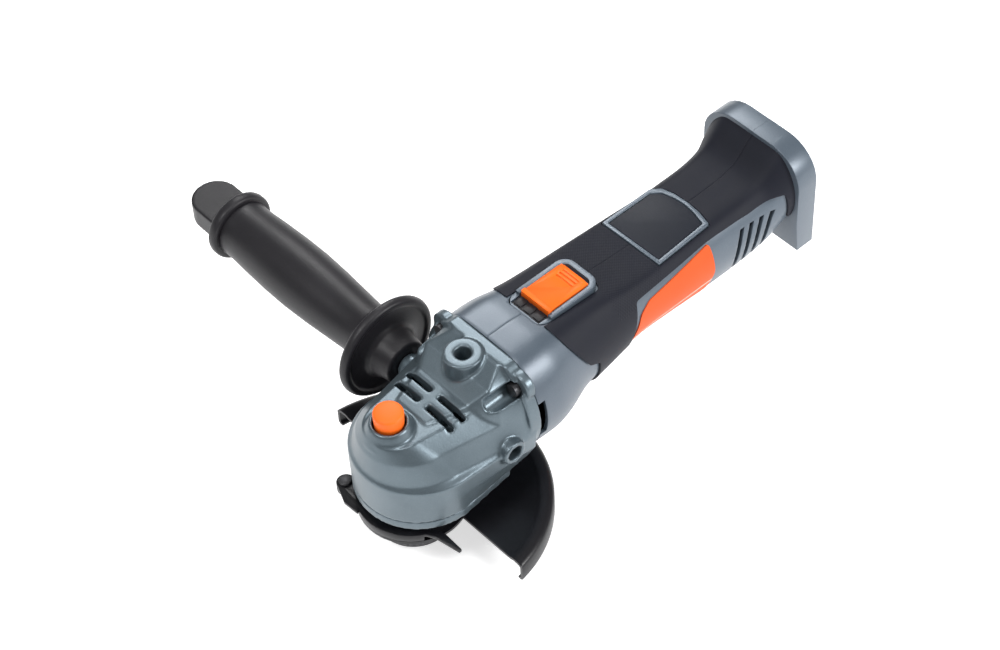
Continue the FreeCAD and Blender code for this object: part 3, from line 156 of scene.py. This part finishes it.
def lacquer(name, low, high, metallic):
    """Satin lacquer with a metallic fleck over a softly uneven casting."""
    material, shader, place = new_finish(name, metallic, coat=0.15)
    cloud = place.noise(38, 3)
    fleck = place.noise(5200, 1).above(0.61)
    colour = (cloud * 0.75 + fleck * 0.35).blend(low, high)
    peel = place.noise(900, 2) * 0.7 + place.noise(140, 2) * 0.3
    feed(shader, place, colour, 0.33 + cloud * 0.09 + fleck * 0.05, peel, 0.00006)
    return material


def pick(piece):
    """Makes one object the only selected and active one."""
    bpy.ops.object.select_all(action="DESELECT")
    piece.select_set(True)
    bpy.context.view_layer.objects.active = piece


def editing(piece):
    pick(piece)
    bpy.ops.object.mode_set(mode="EDIT")
    bpy.ops.mesh.select_all(action="SELECT")


def done_editing():
    bpy.ops.object.mode_set(mode="OBJECT")


def from_frame(node, name):
    """A copy of a machined part whose loose triangles are merged into one skin."""
    piece = bpy.data.objects.new(name, nodes[node].data.copy())
    bpy.context.scene.collection.objects.link(piece)
    piece.data.materials.clear()
    editing(piece)
    bpy.ops.mesh.remove_doubles(threshold=0.000002)
    done_editing()
    return piece


def modify(piece, kind, **settings):
    """Adds a modifier and applies it."""
    pick(piece)
    added = piece.modifiers.new(kind.title(), kind)
    for name, setting in settings.items():
        setattr(added, name, setting)
    bpy.ops.object.modifier_apply(modifier=added.name)


def soften(piece, width, segments, degrees=50):
    """Rounds every edge that turns more than the angle, by a width in metres."""
    modify(piece, "BEVEL", width=width, segments=segments, limit_method="ANGLE",
           angle_limit=math.radians(degrees))


def smooth(piece, degrees=35):
    pick(piece)
    bpy.ops.object.shade_smooth_by_angle(angle=math.radians(degrees))


def settle(piece, body, slot, material, *replaced):
    """Gives a finished piece its body and its finish, and hides the nodes that it stands for; the slot
    argument is not used.
    """
    piece.data.materials.clear()
    piece.data.materials.append(material)
    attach(piece, body)
    if replaced:
        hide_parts(*replaced)


def cast(node, voxel, rounds):
    """A casting or moulding: the part's shape skinned afresh with its edges rubbed down."""
    piece = from_frame(node, node + "_body")
    modify(piece, "REMESH", mode="VOXEL", voxel_size=voxel, adaptivity=0.0)
    modify(piece, "SMOOTH", factor=0.5, iterations=rounds)
    smooth(piece, 60)
    return piece


alloy = lacquer("blue_grey_lacquer", (0.066, 0.092, 0.110), (0.165, 0.208, 0.235), 0.65)
gear_head = cast("gear_case", 0.0007, 4)
settle(gear_head, "body", "case_alloy", alloy, "gear_case")

cover = cast("bearing_cover", 0.0007, 3)
settle(cover, "body", "case_alloy", alloy, "bearing_cover")

# ---- plain metal and moulded parts inside ---------------------------------------------------------
# Screws, bearings, gears, the motor and the switch keep their machined shapes. They are turned or
# drawn steel, copper, bronze, sintered magnet and black plastic, each with its own grain.


def metal(name, low, high, roughness, stretch=(1, 1, 1), metallic=1.0):
    """Bare metal with fine tool marks drawn out along its short axes."""
    material, shader, place = new_finish(name, metallic)
    marks = place.stretched(*stretch).noise(900, 3)
    cloud = place.noise(120, 2)
    feed(shader, place, cloud.blend(low, high), roughness + marks * 0.16, marks, 0.00002)
    return material


def moulding(name, low, high, roughness, grain=1500, depth=0.00003, coat=0.0, gloss=0.3):
    """Moulded plastic with a spark-eroded grain."""
    material, shader, place = new_finish(name, coat=coat, gloss=gloss)
    cloud = place.noise(45, 3)
    pits = place.noise(grain, 2)
    feed(shader, place, cloud.blend(low, high), roughness + pits * 0.12, pits, depth)
    return material


FINISHES = {
    "steel": metal("ground_steel", (0.46, 0.47, 0.48), (0.62, 0.62, 0.62), 0.22, (1, 1, 9)),
    "dark_steel": metal("blackened_steel", (0.035, 0.035, 0.038), (0.09, 0.09, 0.095), 0.34, (1, 1, 6),
                        0.85),
    "bronze": metal("sintered_bronze", (0.42, 0.27, 0.11), (0.58, 0.40, 0.18), 0.4),
    "copper": metal("enamelled_copper", (0.45, 0.15, 0.06), (0.68, 0.28, 0.12), 0.3, (12, 1, 1)),
    "magnet": metal("sintered_magnet", (0.07, 0.07, 0.075), (0.11, 0.11, 0.115), 0.5, metallic=0.6),
    "brush_carbon": moulding("brush_carbon", (0.02, 0.02, 0.02), (0.045, 0.045, 0.045), 0.6),
    "black_plastic": moulding("black_moulding", (0.012, 0.012, 0.014), (0.024, 0.024, 0.027), 0.42),
    "board": moulding("potted_board", (0.008, 0.06, 0.025), (0.015, 0.10, 0.045), 0.3),
    "shell_grey": lacquer("body_grey", (0.062, 0.084, 0.110), (0.112, 0.140, 0.172), 0.25),
    "case_alloy": alloy,
    "handle_plastic": moulding("handle_black", (0.0105, 0.0098, 0.0120), (0.0190, 0.0180, 0.0212), 0.36,
                               grain=2200, depth=0.00005),
    "guard_black": moulding("guard_paint", (0.0035, 0.0035, 0.0050), (0.0085, 0.0085, 0.0110), 0.3,
                            grain=700, coat=0.12),
    "orange_plastic": moulding("orange_moulding", (0.93, 0.125, 0.006), (1.0, 0.175, 0.012), 0.42,
                               grain=1800, depth=0.00002),
    "pad_slate": moulding("pad_slate", (0.0060, 0.0078, 0.0135), (0.0120, 0.0148, 0.0235), 0.4,
                          depth=0.00002, gloss=0.2),
    "soft_grip": moulding("soft_under", (0.020, 0.021, 0.027), (0.032, 0.033, 0.041), 0.6),
    "panel_coral": moulding("panel_under", (0.80, 0.13, 0.045), (0.88, 0.17, 0.065), 0.4),
}
for part in frame["record"]["subparts"]:
    skin = nodes[part["node"]].data
    skin.materials.clear()
    skin.materials.append(FINISHES[part["material_slot"]])

# ---- body shells -------------------------------------------------------------------------------
# Two halves in grey glass-filled plastic, moulded and screwed together along the middle. The
# outside is one smooth run of round sections, each with its top cut flat and the corner softened.
# Each section: place along the body, radius, height of the centre and height of the flat top.
COLLAR_END = 66
RUN = [
    (52, 36.6, 48.0, 79.0), (66, 36.6, 47.6, 79.0), (77, 35.1, 48.2, 78.0), (90, 32.3, 50.6, 77.0),
    (107, 30.5, 52.2, 76.0), (128, 28.7, 53.7, 73.5), (150, 28.3, 52.8, 72.7),
    (186, 28.3, 50.7, 72.7), (216, 28.7, 53.4, 75.7), (231, 30.8, 64.5, 89.0), (236, 31.2, 65.6, 91.0)]
GRIP_SKIN = 1.2
SHELL_WALL = 2.0


def section_at(x):
    """Radius, centre and top of the body at x, on a smooth curve through the sections."""
    last = len(RUN) - 2
    i = max(k for k in range(last + 1) if RUN[k][0] <= x or k == 0)
    around = [RUN[max(i - 1, 0)], RUN[i], RUN[i + 1], RUN[min(i + 2, last + 1)]]
    span = around[2][0] - around[1][0]
    t = (x - around[1][0]) / span
    out = []
    for k in (1, 2, 3):
        start, end = around[1][k], around[2][k]
        lead = (end - around[0][k]) / (around[2][0] - around[0][0]) * span
        tail = (around[3][k] - start) / (around[3][0] - around[1][0]) * span
        out.append((2 * t**3 - 3 * t**2 + 1) * start + (t**3 - 2 * t**2 + t) * lead
                   + (3 * t**2 - 2 * t**3) * end + (t**3 - t**2) * tail)
    return out


def body_run(name, start, end, inset, sides=144, step=2.0):
    """A closed bar in the body's outline, inset by inset(x), drawn out section by section."""
    x = start
    radius, centre, top = section_at(x)
    bpy.ops.object.select_all(action="DESELECT")
    bpy.ops.mesh.primitive_circle_add(vertices=sides, radius=radius * MM, fill_type="NGON",
                                      rotation=(0, math.pi / 2, 0), location=(x * MM, 0, centre * MM))
    piece = bpy.context.object
    piece.name = name
    bpy.ops.object.transform_apply()
    editing(piece)
    mesh = bmesh.from_edit_mesh(piece.data)
    old_centre = centre
    while True:
        radius, centre, top = section_at(x)
        inner = radius - inset(x)
        flat = top - inset(x) - centre
        for vert in mesh.verts:
            if vert.select:
                angle = math.atan2(vert.co.z - old_centre * MM, vert.co.y)
                reach = inner ** -26
                if math.sin(angle) > 0.2:
                    reach += (flat / math.sin(angle)) ** -26
                reach = reach ** (-1 / 26)
                vert.co = Vector((x, reach * math.cos(angle), centre + reach * math.sin(angle))) * MM
        old_centre = centre
        if x >= end:
            break
        ahead = min(x + step, end)
        bpy.ops.mesh.extrude_region_move(TRANSFORM_OT_translate={"value": ((ahead - x) * MM, 0, 0)})
        mesh = bmesh.from_edit_mesh(piece.data)
        x = ahead
    bpy.ops.mesh.select_all(action="SELECT")
    bpy.ops.mesh.normals_make_consistent(inside=False)
    done_editing()
    return piece


def oblong(u_low, v_low, u_high, v_high):
    """The outline of a rectangle."""
    return [(u_low, v_low), (u_high, v_low), (u_high, v_high), (u_low, v_high)]


def slab(name, outline, axis, low, high, rounded=0.0):
    """A prism: an outline across an axis, drawn out from low to high, with its corners rounded."""
    spots = []
    for u, v in outline:
        spots.append({"X": (low, u, v), "Y": (u, low, v), "Z": (u, v, low)}[axis])
    bpy.ops.object.select_all(action="DESELECT")
    bpy.ops.mesh.primitive_circle_add(vertices=len(outline), radius=1, fill_type="NGON")
    piece = bpy.context.object
    piece.name = name
    for vert, spot in zip(piece.data.vertices, spots):
        vert.co = Vector(spot) * MM
    editing(piece)
    if rounded:
        bpy.ops.mesh.bevel(offset=rounded * MM, offset_type="OFFSET", segments=6, affect="VERTICES",
                           clamp_overlap=True)
        bpy.ops.mesh.select_all(action="SELECT")
    reach = Vector([(high - low) * MM if axis == one else 0 for one in "XYZ"])
    bpy.ops.mesh.extrude_region_move(TRANSFORM_OT_translate={"value": reach})
    bpy.ops.mesh.select_all(action="SELECT")
    bpy.ops.mesh.normals_make_consistent(inside=False)
    done_editing()
    return piece


def carve(piece, tool, operation="DIFFERENCE"):
    """Cuts a tool out of a piece, or joins it on, and puts the tool away."""
    modify(piece, "BOOLEAN", object=tool, operation=operation, solver="EXACT")
    bpy.data.objects.remove(tool)


def copy_of(piece, name):
    """A second object with a mesh of its own."""
    part = piece.copy()
    part.data = piece.data.copy()
    part.name = name
    bpy.context.scene.collection.objects.link(part)
    return part


def half(piece, side, name):
    """The +Y half (side 1) or the -Y half (side -1) of a piece, closed along the middle."""
    part = copy_of(piece, name)
    edges = sorted((side * 0.06, side * 90))
    carve(part, slab("half_space", oblong(30, -40, 270, 130), "Y", *edges), "INTERSECT")
    return part


def shell_inset(x):
    """The shells step down by the skin's thickness where the soft skin lies over them."""
    t = min(max((x - COLLAR_END) / 22, 0), 1)
    return GRIP_SKIN * t * t * (3 - 2 * t)


def slot_tool(x, bulge=30.0, low=34.0, high=62.5, width=3.0, lean=0.16):
    """A bowed bar through both sides of the body, for one cooling slot."""
    count = 7
    front = []
    for k in range(count):
        z = low + (high - low) * k / (count - 1)
        sag = bulge - math.sqrt(bulge ** 2 - (z - (low + high) / 2) ** 2)
        front.append((x + sag + lean * (z - low), z))
    outline = front + [(u + width, v) for u, v in reversed(front)]
    return slab("slot_tool", outline, "Y", -60, 60)


body_outside = body_run("body_outside", 52, 231, shell_inset)
carve(body_outside, body_run("hollow", 48, 235, lambda x: shell_inset(max(x, 52)) + SHELL_WALL))
PAD_OUTLINE = [(145.9, -19.6), (182.4, -17.6), (184.6, -9), (185.4, 0),
               (184.8, 9), (183.0, 15.5), (178.5, 19.4), (145.6, 19.5)]
carve(body_outside, slab("pad_seat", PAD_OUTLINE, "Z", 70.9, 90, 0.8))
BEZEL = oblong(74.5, -12.4, 114.5, 12.4)
carve(body_outside, slab("knob_seat", BEZEL, "Z", 74.5, 90, 5.0))
SLOTS = (189.5, 196.0, 202.5, 209.0)
for x in SLOTS:
    carve(body_outside, slot_tool(x))
for side in (-1, 1):
    edges = sorted((side * 30, side * 45))
    carve(body_outside, slab("outlet_tool", oblong(51, 37.5, 56, 59.5), "Y", *edges))
body_grey = FINISHES["shell_grey"]


def corner(u, v, radius, start, count=8):
    """Points round one corner of an outline: a quarter turn about (u, v) from start degrees."""
    turns = [math.radians(start + 90 * k / count) for k in range(count + 1)]
    return [(u + radius * math.cos(turn), v + radius * math.sin(turn)) for turn in turns]


FLANGE_HALF, FLANGE_FOOT, FLANGE_TOP, FLANGE_ROUND, FLANGE_BACK = 32.8, 28.0, 90.5, 20.0, 243.0
flange_outline = ([(-FLANGE_HALF, FLANGE_FOOT), (FLANGE_HALF, FLANGE_FOOT)]
                  + corner(FLANGE_HALF - FLANGE_ROUND, FLANGE_TOP - FLANGE_ROUND, FLANGE_ROUND, 0)
                  + corner(FLANGE_ROUND - FLANGE_HALF, FLANGE_TOP - FLANGE_ROUND, FLANGE_ROUND, 90))
whole_flange = slab("flange", flange_outline, "X", 230.2, FLANGE_BACK)
carve(whole_flange, slab("foot_tool", [(210, 10), (233.5, 10), (230.2, 46), (210, 46)], "Y", -60, 60))
carve(whole_flange, slab("socket_tool", oblong(-25, 10, 25, 78), "X", 234, 260, 1.0))
carve(whole_flange, slab("terminal_tool", oblong(-16, 56, 16, 76), "X", 220, 260, 1.0))


def round_edges(piece, width, segments=4):
    """Rounds a piece's sharp edges, apart from those that meet its other half in the middle."""
    editing(piece)
    bpy.ops.mesh.select_all(action="DESELECT")
    bpy.ops.mesh.select_mode(type="EDGE")
    mesh = bmesh.from_edit_mesh(piece.data)
    for edge in mesh.edges:
        along_middle = max(abs(vert.co.y) for vert in edge.verts) < 0.4 * MM
        if edge.calc_face_angle(0) > math.radians(50) and not along_middle:
            edge.select_set(True)
    bmesh.update_edit_mesh(piece.data)
    bpy.ops.mesh.bevel(offset=width, segments=segments, affect="EDGES", clamp_overlap=True)
    bpy.ops.mesh.select_mode(type="VERT")
    done_editing()


for side, node in ((1, "shell_right"), (-1, "shell_left")):
    part = half(body_outside, side, node + "_front")
    flange = half(whole_flange, side, node + "_moulding")
    round_edges(flange, 0.0012)
    soften(part, 0.0003, 2)
    pick(flange)
    part.select_set(True)
    bpy.ops.object.join()
    smooth(flange, 32)
    settle(flange, "body", "shell_grey", body_grey, node)
bpy.data.objects.remove(whole_flange)
bpy.data.objects.remove(body_outside)

# ---- soft grip ---------------------------------------------------------------------------------
# A soft rubber skin is moulded over the waist of each shell. Its front edge sweeps back down the
# sides, and it leaves a grey window on each side. A fine raised weave fills the top.
rubber, rubber_shader, rubber_place = new_finish("soft_rubber", gloss=0.2)
rubber_x = rubber_place.part("X")
rubber_y = rubber_place.part("Y")
weave_zone = rubber_x.above(0.112) * (1 - rubber_x.above(0.145)) * rubber_place.part("Z").above(0.064)
weave = (rubber_x * 4200).wave() * (rubber_y * 4200).wave()
dust = rubber_place.noise(60, 3)
rubber_grain = rubber_place.noise(2600, 2)
feed(rubber_shader, rubber_place,
     (dust * 0.8 + weave * weave_zone * 0.2).blend((0.0060, 0.0070, 0.0125), (0.0125, 0.0140, 0.0230)),
     0.5 + dust * 0.16 - weave * weave_zone * 0.06,
     rubber_grain * 0.35 + weave * weave_zone * 0.65, 0.00007)
rubber_shader.inputs["Sheen Weight"].default_value = 0.04
rubber_shader.inputs["Sheen Roughness"].default_value = 0.4

grip = body_run("grip", 74, 230.6, lambda x: 0.0)
carve(grip, body_run("grip_core", 70, 234, lambda x: GRIP_SKIN - 0.05))
FRONT_EDGE = [(60, 95), (76.5, 95), (76.5, 77.5), (79.5, 71), (84.0, 63), (88.5, 55.5), (95.0, 52),
              (96.5, 40), (97, 5), (60, 5)]
carve(grip, slab("front_tool", FRONT_EDGE, "Y", -60, 60, 0.6))
WINDOW_EDGE = [(116.0, 24), (119.5, 45), (125.0, 67.0), (176, 68.2), (205, 67.6), (225.5, 70.0),
               (227.0, 53), (236.0, 51), (236.0, 24)]
for side in (-1, 1):
    edges = sorted((side * 12, side * 60))
    carve(grip, slab("window_tool", WINDOW_EDGE, "Y", *edges, 1.5))
carve(grip, slab("pad_gap", [(u + (0.5 if u > 160 else -0.5), v * 1.025) for u, v in PAD_OUTLINE],
                 "Z", 68, 95, 0.8))
carve(grip, slab("knob_gap", oblong(60, -13.0, 115.2, 13.0), "Z", 70, 95, 6.0))
for side, node in ((1, "grip_skin_right"), (-1, "grip_skin_left")):
    part = half(grip, side, node + "_rubber")
    soften(part, 0.00035, 2)
    smooth(part, 40)
    settle(part, "body", "soft_grip", rubber, node)
bpy.data.objects.remove(grip)

# ---- side panels -------------------------------------------------------------------------------
# A thin printed panel lies in the front of each grey window, proud of it by half a millimetre. It
# is coral, with a plain pale line along its lower edge in place of any lettering.
coral, coral_shader, coral_place = new_finish("coral_panel", gloss=0.12)
coral_z = coral_place.part("Z") - coral_place.part("X") * 0.04
line = (coral_z - 0.0385).size()
pale = 1 - line.above(0.00035)
print_grain = coral_place.noise(1800, 2)
coral_colour = coral_place.noise(50, 2).blend((0.66, 0.086, 0.018), (0.72, 0.108, 0.026))
feed(coral_shader, coral_place, pale.blend(coral_colour, (0.86, 0.70, 0.64)), 0.42 + print_grain * 0.1,
     print_grain, 0.00002)
PANEL = [(126.5, 58.0), (133, 62.2), (177.0, 66.6), (177.4, 50), (172.5, 38.0), (119.5, 34.5),
         (121.6, 44)]
panel_run = body_run("panel_run", 116, 184, lambda x: GRIP_SKIN - 0.55)
carve(panel_run, body_run("panel_core", 112, 188, lambda x: GRIP_SKIN + 0.02))
for side, node in ((1, "side_panel_right"), (-1, "side_panel_left")):
    edges = sorted((side * 12, side * 60))
    part = slab(node + "_print", PANEL, "Y", *edges, 1.6)
    carve(part, copy_of(panel_run, "panel_tool"), "INTERSECT")
    smooth(part, 40)
    settle(part, "body", "panel_coral", coral, node)
bpy.data.objects.remove(panel_run)

# ---- pad ---------------------------------------------------------------------------------------
# A slate inlay in a grey frame is let into the flat of the waist. The frame stands a little proud
# and its rear side is bowed.
PAD_MIDDLE = 164.0
PAD_RIM = 2.2
pad_ring = slab("pad_frame_moulding", PAD_OUTLINE, "Z", 70.95, 73.1, 0.8)
inner = []
for u, v in PAD_OUTLINE:
    sideways = PAD_RIM * min(abs(v) / 10, 1)
    inner.append((u - math.copysign(PAD_RIM, u - PAD_MIDDLE), v - math.copysign(sideways, v)))
carve(pad_ring, slab("pad_hollow", inner, "Z", 70, 80, 0.6))
soften(pad_ring, 0.00035, 3)
smooth(pad_ring)
settle(pad_ring, "body", "shell_grey", body_grey, "pad_frame")
plate_outline = [(u + (0.12 if u < PAD_MIDDLE else -0.12), v * 0.99) for u, v in inner]
plate = slab("pad_plate_inlay", plate_outline, "Z", 70.95, 72.85, 0.6)
soften(plate, 0.0004, 3)
smooth(plate)
settle(plate, "body", "pad_slate", FINISHES["pad_slate"], "pad_plate")

# ---- slide switch ------------------------------------------------------------------------------
# A grey bezel, open at the front, guides an orange knob. The knob has a raised rib across its
# front, shallow grooves for the thumb, and slides over a ribbed black channel floor.
CHANNEL_HALF = 9.8
CHANNEL_FLOOR = 76.3
bezel = slab("switch_bezel_moulding", BEZEL, "Z", 74.3, 78.9, 6.5)
carve(bezel, slab("bezel_front", oblong(70, -20, 82, 20), "Z", 77.3, 82))
for name, back_end, rounded in (("bezel_channel", 111.6, 4.2), ("bezel_mouth", 84, 0)):
    outline = oblong(76.0, -CHANNEL_HALF, back_end, CHANNEL_HALF)
    carve(bezel, slab(name, outline, "Z", CHANNEL_FLOOR, 82, rounded))
soften(bezel, 0.0004, 3)
smooth(bezel)
settle(bezel, "body", "shell_grey", body_grey, "switch_bezel")
channel = slab("switch_channel", oblong(76.4, -9.5, 84.0, 9.5), "Z", 76.2, 76.6)
for v in (-6.4, 0.0, 6.4):
    carve(channel, slab("channel_rib", oblong(77.2, v - 2.3, 82.6, v + 2.3), "Z", 76.4, 77.2, 0.4),
          "UNION")
soften(channel, 0.00015, 2)
smooth(channel)
settle(channel, "body", "black_plastic", FINISHES["black_plastic"])

knob = slab("switch_knob_moulding", oblong(83, -9.2, 109, 9.2), "Z", 76.5, 79.9, 2.6)
carve(knob, slab("knob_front_rib", oblong(82.6, -9.6, 85.4, 9.6), "Z", 76.5, 80.5, 0.7), "UNION")
for k in range(3):
    u = 101.5 + 2.2 * k
    carve(knob, slab("thumb_groove", oblong(u, -5.5, u + 0.9, 5.5), "Z", 79.5, 82, 0.3))
carve(knob, from_frame("switch_knob", "knob_leg"), "UNION")
soften(knob, 0.00055, 3)
smooth(knob)
settle(knob, "slider", "orange_plastic", FINISHES["orange_plastic"], "switch_knob")

# ---- lock button -------------------------------------------------------------------------------
# A round orange button over the spindle, turned to a crowned top with a rolled edge. The spring
# under it keeps its machined coil, with a mesh of its own.


def lathe(name, profile, axis, centre, steps=96, bevel=0.0):
    """A turned piece: a profile of (along, radius) points spun round an axis through centre."""
    along = Vector([1.0 if axis == one else 0.0 for one in "XYZ"])
    out = Vector((0, 0, 1)) if axis == "Y" else Vector((0, 1, 0))
    spots = [(Vector(centre) + along * a + out * r) * MM for a, r in profile]
    bpy.ops.object.select_all(action="DESELECT")
    bpy.ops.mesh.primitive_plane_add(size=MM, location=spots[0])
    piece = bpy.context.object
    piece.name = name
    bpy.ops.object.transform_apply()
    editing(piece)
    bpy.ops.mesh.merge(type="CENTER")
    for here, there in zip(spots, spots[1:]):
        bpy.ops.mesh.extrude_region_move(TRANSFORM_OT_translate={"value": there - here})
    bpy.ops.mesh.select_all(action="SELECT")
    bpy.ops.mesh.spin(steps=steps, angle=2 * math.pi, center=Vector(centre) * MM, axis=along)
    bpy.ops.mesh.select_all(action="SELECT")
    bpy.ops.mesh.remove_doubles(threshold=0.000004)
    bpy.ops.mesh.dissolve_degenerate(threshold=0.000002)
    bpy.ops.mesh.select_all(action="SELECT")
    bpy.ops.mesh.normals_make_consistent(inside=False)
    done_editing()
    if bevel:
        soften(piece, bevel, 4, 24)
    smooth(piece, 40)
    return piece


button = lathe("lock_button_cap", [
    (66.6, 0), (66.6, 7.1), (74.0, 7.4), (75.6, 7.4), (76.3, 6.9), (76.6, 6.1), (76.85, 3.0), (76.9, 0)],
    "Z", (-9.5, 0, 0), bevel=0.0004)
settle(button, "lock", "orange_plastic", FINISHES["orange_plastic"], "lock_button")
spring = from_frame("lock_spring", "lock_spring_coil")
smooth(spring)
settle(spring, "body", "steel", FINISHES["steel"], "lock_spring")
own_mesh(spring)

# ---- side handle -------------------------------------------------------------------------------
# A hard black plastic grip moulded over a steel stud. It has a wide hand guard, a swelling barrel,
# a collar ring, and a flattened tab at its end, all with softly rounded edges.
HANDLE = (33.3, 0, 42.8)
handle_black = FINISHES["handle_plastic"]
barrel = lathe("handle_grip_moulding", [
    (38.9, 4.0), (38.9, 10.8), (39.6, 12.0), (44.0, 12.6), (49.7, 14.0), (51.6, 16.0), (52.7, 19.5),
    (52.9, 23.6), (51.9, 25.0), (51.9, 27.0), (52.9, 28.1), (54.8, 28.5), (56.2, 28.2), (57.4, 26.6),
    (59.0, 22.5), (61.7, 17.4), (65.7, 14.6), (72, 14.2), (84.7, 15.1), (99, 16.1), (114.7, 16.8),
    (130, 16.7), (144.7, 16.1), (156, 15.4), (162, 15.3), (165, 15.6), (165, 0), (74.7, 0), (74.7, 4.0),
    (38.9, 4.0)], "Y", HANDLE, 128, 0.0006)
settle(barrel, "side_handle", "handle_plastic", handle_black, "handle_grip")
collar_ring = lathe("handle_ring_moulding", [
    (165, 0), (165, 17.2), (165.6, 18.2), (166.8, 18.6), (169.2, 18.6), (170.4, 18.2), (171, 17.0),
    (171, 0)], "Y", HANDLE, 128, 0.0004)
settle(collar_ring, "side_handle", "handle_plastic", handle_black, "handle_ring")
tab = cast("handle_tab", 0.0006, 14)
tab.name = "handle_tab_moulding"
settle(tab, "side_handle", "handle_plastic", handle_black, "handle_tab")

# ---- guard -------------------------------------------------------------------------------------
# The guard is pressed from black painted sheet: a flat plate with a rolled outer edge and a skirt
# whose lower lip turns in. One straight cut leaves the front of the disc free. The collar, lever,
# pin, flange and nut keep their machined shapes, with broken edges.
guard = lathe("guard_pressing", [
    (4.5, 20.4), (4.5, 59.5), (5.1, 60.6), (5.4, 62.0), (5.2, 65.0), (4.4, 67.0), (3.0, 68.0),
    (-5.4, 68.0), (-6.5, 67.0), (-6.5, 65.0), (-5.4, 65.0), (-5.0, 66.5), (2.4, 66.5), (3.4, 65.4),
    (3.8, 62.0), (3.0, 59.5), (3.0, 20.4), (4.5, 20.4)], "Z", (0, 0, 0), 160)
editing(guard)
bpy.ops.mesh.bisect(plane_co=(0.009, 0, 0), plane_no=(1, 0, 0), use_fill=True, clear_inner=True)
done_editing()
ring = lathe("plate_ring", [(3.0, 20.4), (3.0, 27.5), (4.5, 27.5), (4.5, 20.4), (3.0, 20.4)],
             "Z", (0, 0, 0), 160)
carve(guard, ring, "UNION")
soften(guard, 0.00025, 2)
smooth(guard, 40)
settle(guard, "guard", "guard_black", FINISHES["guard_black"], "guard_shell")

slots = {part["node"]: part["material_slot"] for part in frame["record"]["subparts"]}
for node, body in (("guard_collar", "guard"), ("guard_lever", "guard_lever"), ("lever_pin", "guard"),
                   ("inner_flange", "spindle"), ("clamp_nut", "clamp_nut")):
    piece = from_frame(node, node + "_metal")
    editing(piece)
    bpy.ops.mesh.dissolve_limited(angle_limit=math.radians(1))
    done_editing()
    soften(piece, 0.0003, 2)
    smooth(piece, 35)
    slot = slots[node]
    settle(piece, body, slot, FINISHES[slot], node)

# ---- floor, light and camera -------------------------------------------------------------------
# A plain pale floor under the tool, four soft lights, and a long lens from the front left.
low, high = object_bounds()
bpy.ops.object.select_all(action="DESELECT")
bpy.ops.mesh.primitive_plane_add(size=8, location=(0, 0, low.z - 0.0005))
floor = bpy.context.object
floor.name = "floor"
floor_finish, floor_shader, floor_place = new_finish("pale_floor")
feed(floor_shader, floor_place, floor_place.noise(3, 2).blend((0.88, 0.88, 0.885), (0.92, 0.92, 0.92)),
     0.75 + floor_place.noise(60, 2) * 0.1, floor_place.noise(200, 2), 0.00002)
floor_shader.inputs["Emission Color"].default_value = (1, 1, 1, 1)
floor_shader.inputs["Emission Strength"].default_value = 0.62
floor.data.materials.append(floor_finish)

world = bpy.data.worlds.new("studio")
bpy.context.scene.world = world
world.use_nodes = True
world.node_tree.nodes["Background"].inputs["Color"].default_value = (1, 1, 1, 1)
world.node_tree.nodes["Background"].inputs["Strength"].default_value = 0.3

# Each light: place, width in metres and power in watts.
LIGHTS = [((-0.75, 0.15, 1.10), 0.35, 7.0), ((0.65, -1.05, 0.70), 0.4, 13.0),
          ((0.75, 0.85, 1.05), 0.5, 9.0), ((0.10, -0.10, 1.50), 0.35, 6.0)]
for spot, size, power in LIGHTS:
    light = bpy.data.lights.new("softbox", "AREA")
    light.size = size
    light.energy = power
    lamp = bpy.data.objects.new("softbox", light)
    bpy.context.scene.collection.objects.link(lamp)
    aim = Vector((0.1, 0.05, 0.05)) - Vector(spot)
    lamp.matrix_world = Matrix.Translation(spot) @ aim.to_track_quat("-Z", "Y").to_matrix().to_4x4()

lens = bpy.data.cameras.new("camera")
lens.lens = 93.56
lens.sensor_width = 36
lens.clip_start = 0.05
camera = bpy.data.objects.new("camera", lens)
bpy.context.scene.collection.objects.link(camera)
camera.location = (-0.4584, -0.6144, 0.9958)
camera.rotation_euler = [math.radians(turn) for turn in (41.274, 2.091, -42.566)]
bpy.context.scene.camera = camera
bpy.context.scene.view_settings.view_transform = "Standard"
